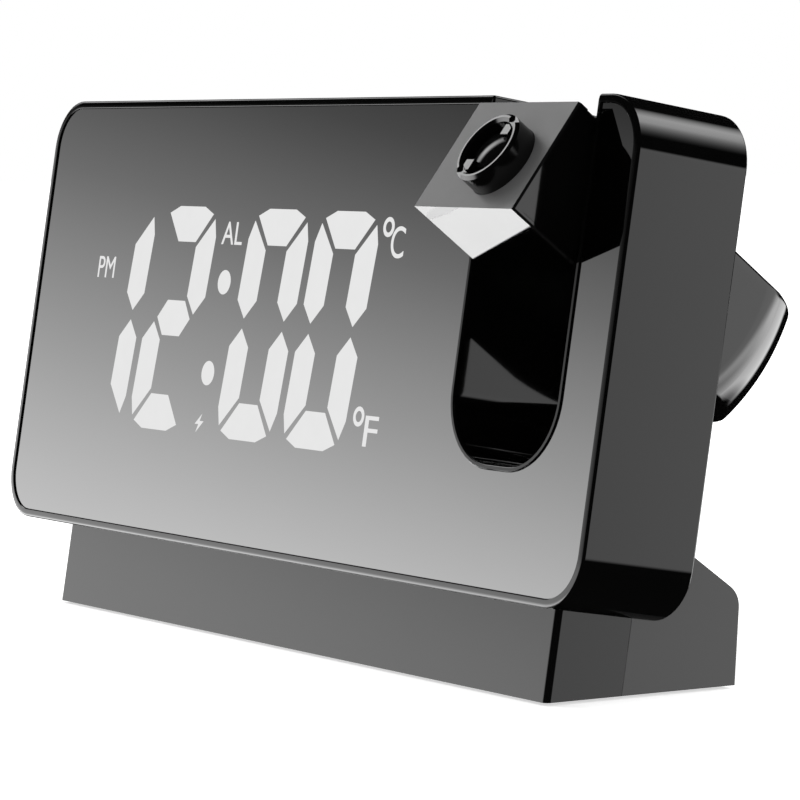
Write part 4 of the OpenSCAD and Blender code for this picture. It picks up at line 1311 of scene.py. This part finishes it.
@dataclass
class Studio:
    """Pale floor, soft light, white surroundings and the camera.

    Matt faces are lit by an even sky, a pale floor and two soft boxes. Polished faces see neither
    the sky nor the floor, but a dark room with five sheets of light: one in front to the left that
    fades upwards, one behind to the right near the horizon, one low behind, and two overhead. The
    floor's glow rises from one strength to another between two distances from the middle.
    """

    camera: Point = (571.81, -340.94, 72.95)
    azimuth: float = 57.05
    drop: float = 3.93
    lens: float = 173.906
    sensor: float = 36.0
    clip: Span = (0.01, 30.0)
    aim: Point = (0.0, 0.0, 0.045)
    lamps: tuple[tuple[str, Point, Span, float], ...] = (
        ("back_box", (0.1, 0.75, 0.72), (0.75, 0.35), 5.0),
        ("left_box", (-0.8, -0.5, 0.75), (0.5, 0.5), 6.0),
    )
    floor_half: float = 6.0
    floor_glow: tuple[Span, Span] = ((0.2, 0.62), (0.6, 1.0))
    fill: float = 0.55
    bounce: float = 0.8
    dark: float = 0.004
    front_left: Sheet = Sheet(
        ((184, 0), (189, 1), (236, 1), (244, 0)),
        (
            (-0.75, 0), (-0.6, 1.9), (-0.42, 1.9), (-0.34, 5), (-0.2, 5), (-0.1, 1.9),
            (0.045, 1.72), (0.06, 1.54), (0.1, 0.96), (0.14, 0.46), (0.17, 0.2), (0.2, 0.06),
            (0.25, 0),
        ),
    )
    right: Sheet = Sheet(
        ((29, 0), (33, 0.83), (35, 0.88), (37, 1), (40, 1.16), (58, 1.2), (68, 0)),
        ((-0.24, 0), (-0.17, 1.15), (0.06, 1.15), (0.11, 0)),
    )
    low_behind: Sheet = Sheet(
        ((39, 0), (44, 0.33), (52, 0.5), (64, 1), (94, 1), (101, 0)),
        ((-0.46, 0), (-0.38, 4), (-0.15, 4), (-0.105, 0)),
    )
    overhead: Sheet = Sheet(
        ((44, 0), (68, 1), (84, 1), (106, 0)),
        ((0.4, 0), (0.66, 3.4), (0.7, 3.4), (0.8, 0)),
    )
    front_overhead: Sheet = Sheet(
        ((182, 0), (189, 1), (194, 1), (201, 0)),
        ((0.22, 0), (0.48, 4), (0.62, 4), (0.97, 0)),
    )

    @staticmethod
    def ramp(
        graph: Graph, source: bpy.types.NodeSocket, marks: Profile, low: float, high: float
    ) -> bpy.types.NodeSocket:
        """Source looked up in marks of place and value.

        Args:
            graph: Where the nodes go.
            source: Value between low and high.
            marks: Places between low and high, with their values.
            low: Lowest place.
            high: Highest place.

        Returns:
            Socket of the value.
        """
        peak = max(value for _, value in marks)
        share = graph.add("MapRange", {0: source, 1: low, 2: high}).outputs[0]
        node = graph.add("ValToRGB", {0: share})
        elements = node.color_ramp.elements
        for number, (place, value) in enumerate(marks):
            spot, level = (place - low) / (high - low), value / peak
            mark = elements[number] if number < 2 else elements.new(spot)
            mark.position, mark.color = spot, (level, level, level, 1)
        return graph.add("Math", {0: node.outputs[0], 1: peak}, operation="MULTIPLY").outputs[0]

    @staticmethod
    def bearing(graph: Graph, parts: bpy.types.Node) -> bpy.types.NodeSocket:
        """Degrees that a split vector's heading lies anticlockwise from +X.

        The angle whose tangent is y over x, as a share of a turn, less its whole turns, times 360.

        Args:
            graph: Where the nodes go.
            parts: Node that splits the vector.

        Returns:
            Socket of the degrees.
        """
        inputs = {0: parts.outputs["Y"], 1: parts.outputs["X"]}
        angle = graph.add("Math", inputs, operation="ARCTAN2").outputs[0]
        turns = graph.add("Math", {0: angle, 1: 2 * math.pi}, operation="DIVIDE").outputs[0]
        share = graph.add("Math", {0: turns}, operation="FRACT").outputs[0]
        return graph.add("Math", {0: share, 1: 360.0}, operation="MULTIPLY").outputs[0]

    def surroundings(self) -> None:
        """World: white to the camera, even to matt faces, dark with the sheets to polished ones."""
        world = bpy.data.worlds.new("surroundings")
        bpy.context.scene.world = world
        world.use_nodes = True
        world.cycles.sampling_method = "NONE"
        graph = Graph(world.node_tree)
        parts = graph.add("SeparateXYZ", {0: graph.add("TexCoord").outputs["Generated"]})
        turn, shine = self.bearing(graph, parts), self.dark
        sheets = (self.front_left, self.right, self.low_behind, self.overhead, self.front_overhead)
        for sheet in sheets:
            across = self.ramp(graph, turn, sheet.bearings, 0, 360)
            up = self.ramp(graph, parts.outputs["Z"], sheet.heights, -1, 1)
            light = graph.add("Math", {0: across, 1: up}, operation="MULTIPLY").outputs[0]
            shine = graph.add("Math", {0: shine, 1: light}, operation="ADD").outputs[0]
        path = graph.add("LightPath").outputs
        other = graph.add("Mix", {0: path["Is Glossy Ray"], 2: self.fill, 3: shine}).outputs[0]
        light = graph.add("Mix", {0: path["Is Camera Ray"], 2: other, 3: 1.0}).outputs[0]
        sky = graph.add("Background", {"Strength": light, "Color": (1, 1, 1, 1)})
        graph.add("OutputWorld", {"Surface": sky.outputs[0]})

    def floor(self) -> None:
        """Pale floor that keeps the clock's shadow.

        It reads white round the clock, lights matt faces evenly and is clear to polished ones.
        """
        half = self.floor_half / MM
        corners = np.array([[-half, -half, 0], [half, -half, 0], [half, half, 0], [-half, half, 0]])
        plane = Shape(corners, [[0, 1, 2, 3]])
        made = Piece.solid("floor", plane, WORLD)
        material = bpy.data.materials.new("floor_pale")
        material.use_nodes = True
        material.cycles.emission_sampling = "NONE"
        graph = Graph(material.node_tree)
        spot = graph.add("TexCoord").outputs["Object"]
        away = graph.add("VectorMath", {0: spot}, operation="LENGTH").outputs["Value"]
        tone = graph.blend(graph.noise(60), grey(0.8), grey(0.84))
        paint = graph.add("BsdfDiffuse", {"Color": tone}).outputs[0]
        (near, faint), (far, full) = self.floor_glow
        lift = graph.add("MapRange", {0: away, 1: near, 2: far, 3: faint, 4: full}).outputs[0]
        glow = graph.add("Emission", {"Strength": lift}).outputs[0]
        shown = graph.add("AddShader", {0: paint, 1: glow}).outputs[0]
        soft = graph.add("Emission", {"Strength": self.bounce}).outputs[0]
        path = graph.add("LightPath").outputs
        seen = graph.add("MixShader", {0: path["Is Camera Ray"], 1: soft, 2: shown}).outputs[0]
        clear = graph.add("BsdfTransparent").outputs[0]
        last = graph.add("MixShader", {0: path["Is Glossy Ray"], 1: seen, 2: clear}).outputs[0]
        graph.add("OutputMaterial", {"Surface": last})
        made.data.materials.append(material)

    def lamp(self, name: str, place: Point, size: Span, power: float) -> None:
        """Soft box that looks at the clock, unseen by the camera and by polished faces.

        Args:
            name: Name of the lamp.
            place: Where it hangs, in metres.
            size: Width and height in metres.
            power: Strength in watts.
        """
        light = bpy.data.lights.new(name, "AREA")
        light.shape, light.size, light.size_y, light.energy = "RECTANGLE", *size, power
        holder = bpy.data.objects.new(name, light)
        holder.location = place
        aim = Vector(self.aim) - Vector(place)
        holder.rotation_euler = aim.to_track_quat("-Z", "Y").to_euler()
        holder.visible_camera, holder.visible_glossy = False, False
        bpy.context.scene.collection.objects.link(holder)

    def view(self) -> None:
        """Camera placed from the case frame's origin, turned by azimuth and tipped down by drop."""
        az, drop = math.radians(self.azimuth), math.radians(self.drop)
        data = bpy.data.cameras.new("camera")
        data.lens, data.sensor_width = self.lens, self.sensor
        data.clip_start, data.clip_end = self.clip
        holder = bpy.data.objects.new("camera", data)
        holder.location = (LAYOUT.case().origin + Vector(self.camera)) * MM
        look = Vector(
            (-math.sin(az) * math.cos(drop), math.cos(az) * math.cos(drop), -math.sin(drop))
        )
        holder.rotation_euler = look.to_track_quat("-Z", "Y").to_euler()
        bpy.context.scene.collection.objects.link(holder)
        bpy.context.scene.camera = holder

    def build(self) -> None:
        """Makes the surroundings, the floor, the lamps and the camera."""
        bpy.context.scene.view_settings.view_transform = "Standard"
        self.surroundings()
        self.floor()
        for name, place, size, power in self.lamps:
            self.lamp(name, place, size, power)
        self.view()


# ------------------------------------------------------------------ whole clock


def dress_nodes() -> None:
    """Gives every CAD node that still shows the finish of its material slot."""
    slots = {part["node"]: part["material_slot"] for part in frame["record"]["subparts"]}
    for name, node in frame["nodes"].items():
        if node.hide_render:
            continue
        node.data.materials.clear()
        node.data.materials.append(Finishes.BY_SLOT[slots[name]].material())
        LOG.info("%s: dressed as %s", name, slots[name])


def main() -> None:
    """Builds the sub-assemblies in order, then the studio."""
    logging.basicConfig(level=logging.INFO, format="%(name)s %(message)s")
    for part in (Case(), Display(), Arm(), Lens(), Stand(), Controls()):
        LOG.info("building %s", type(part).__name__)
        part.build()
    dress_nodes()
    Studio().build()


if __name__ == "__main__":
    main()
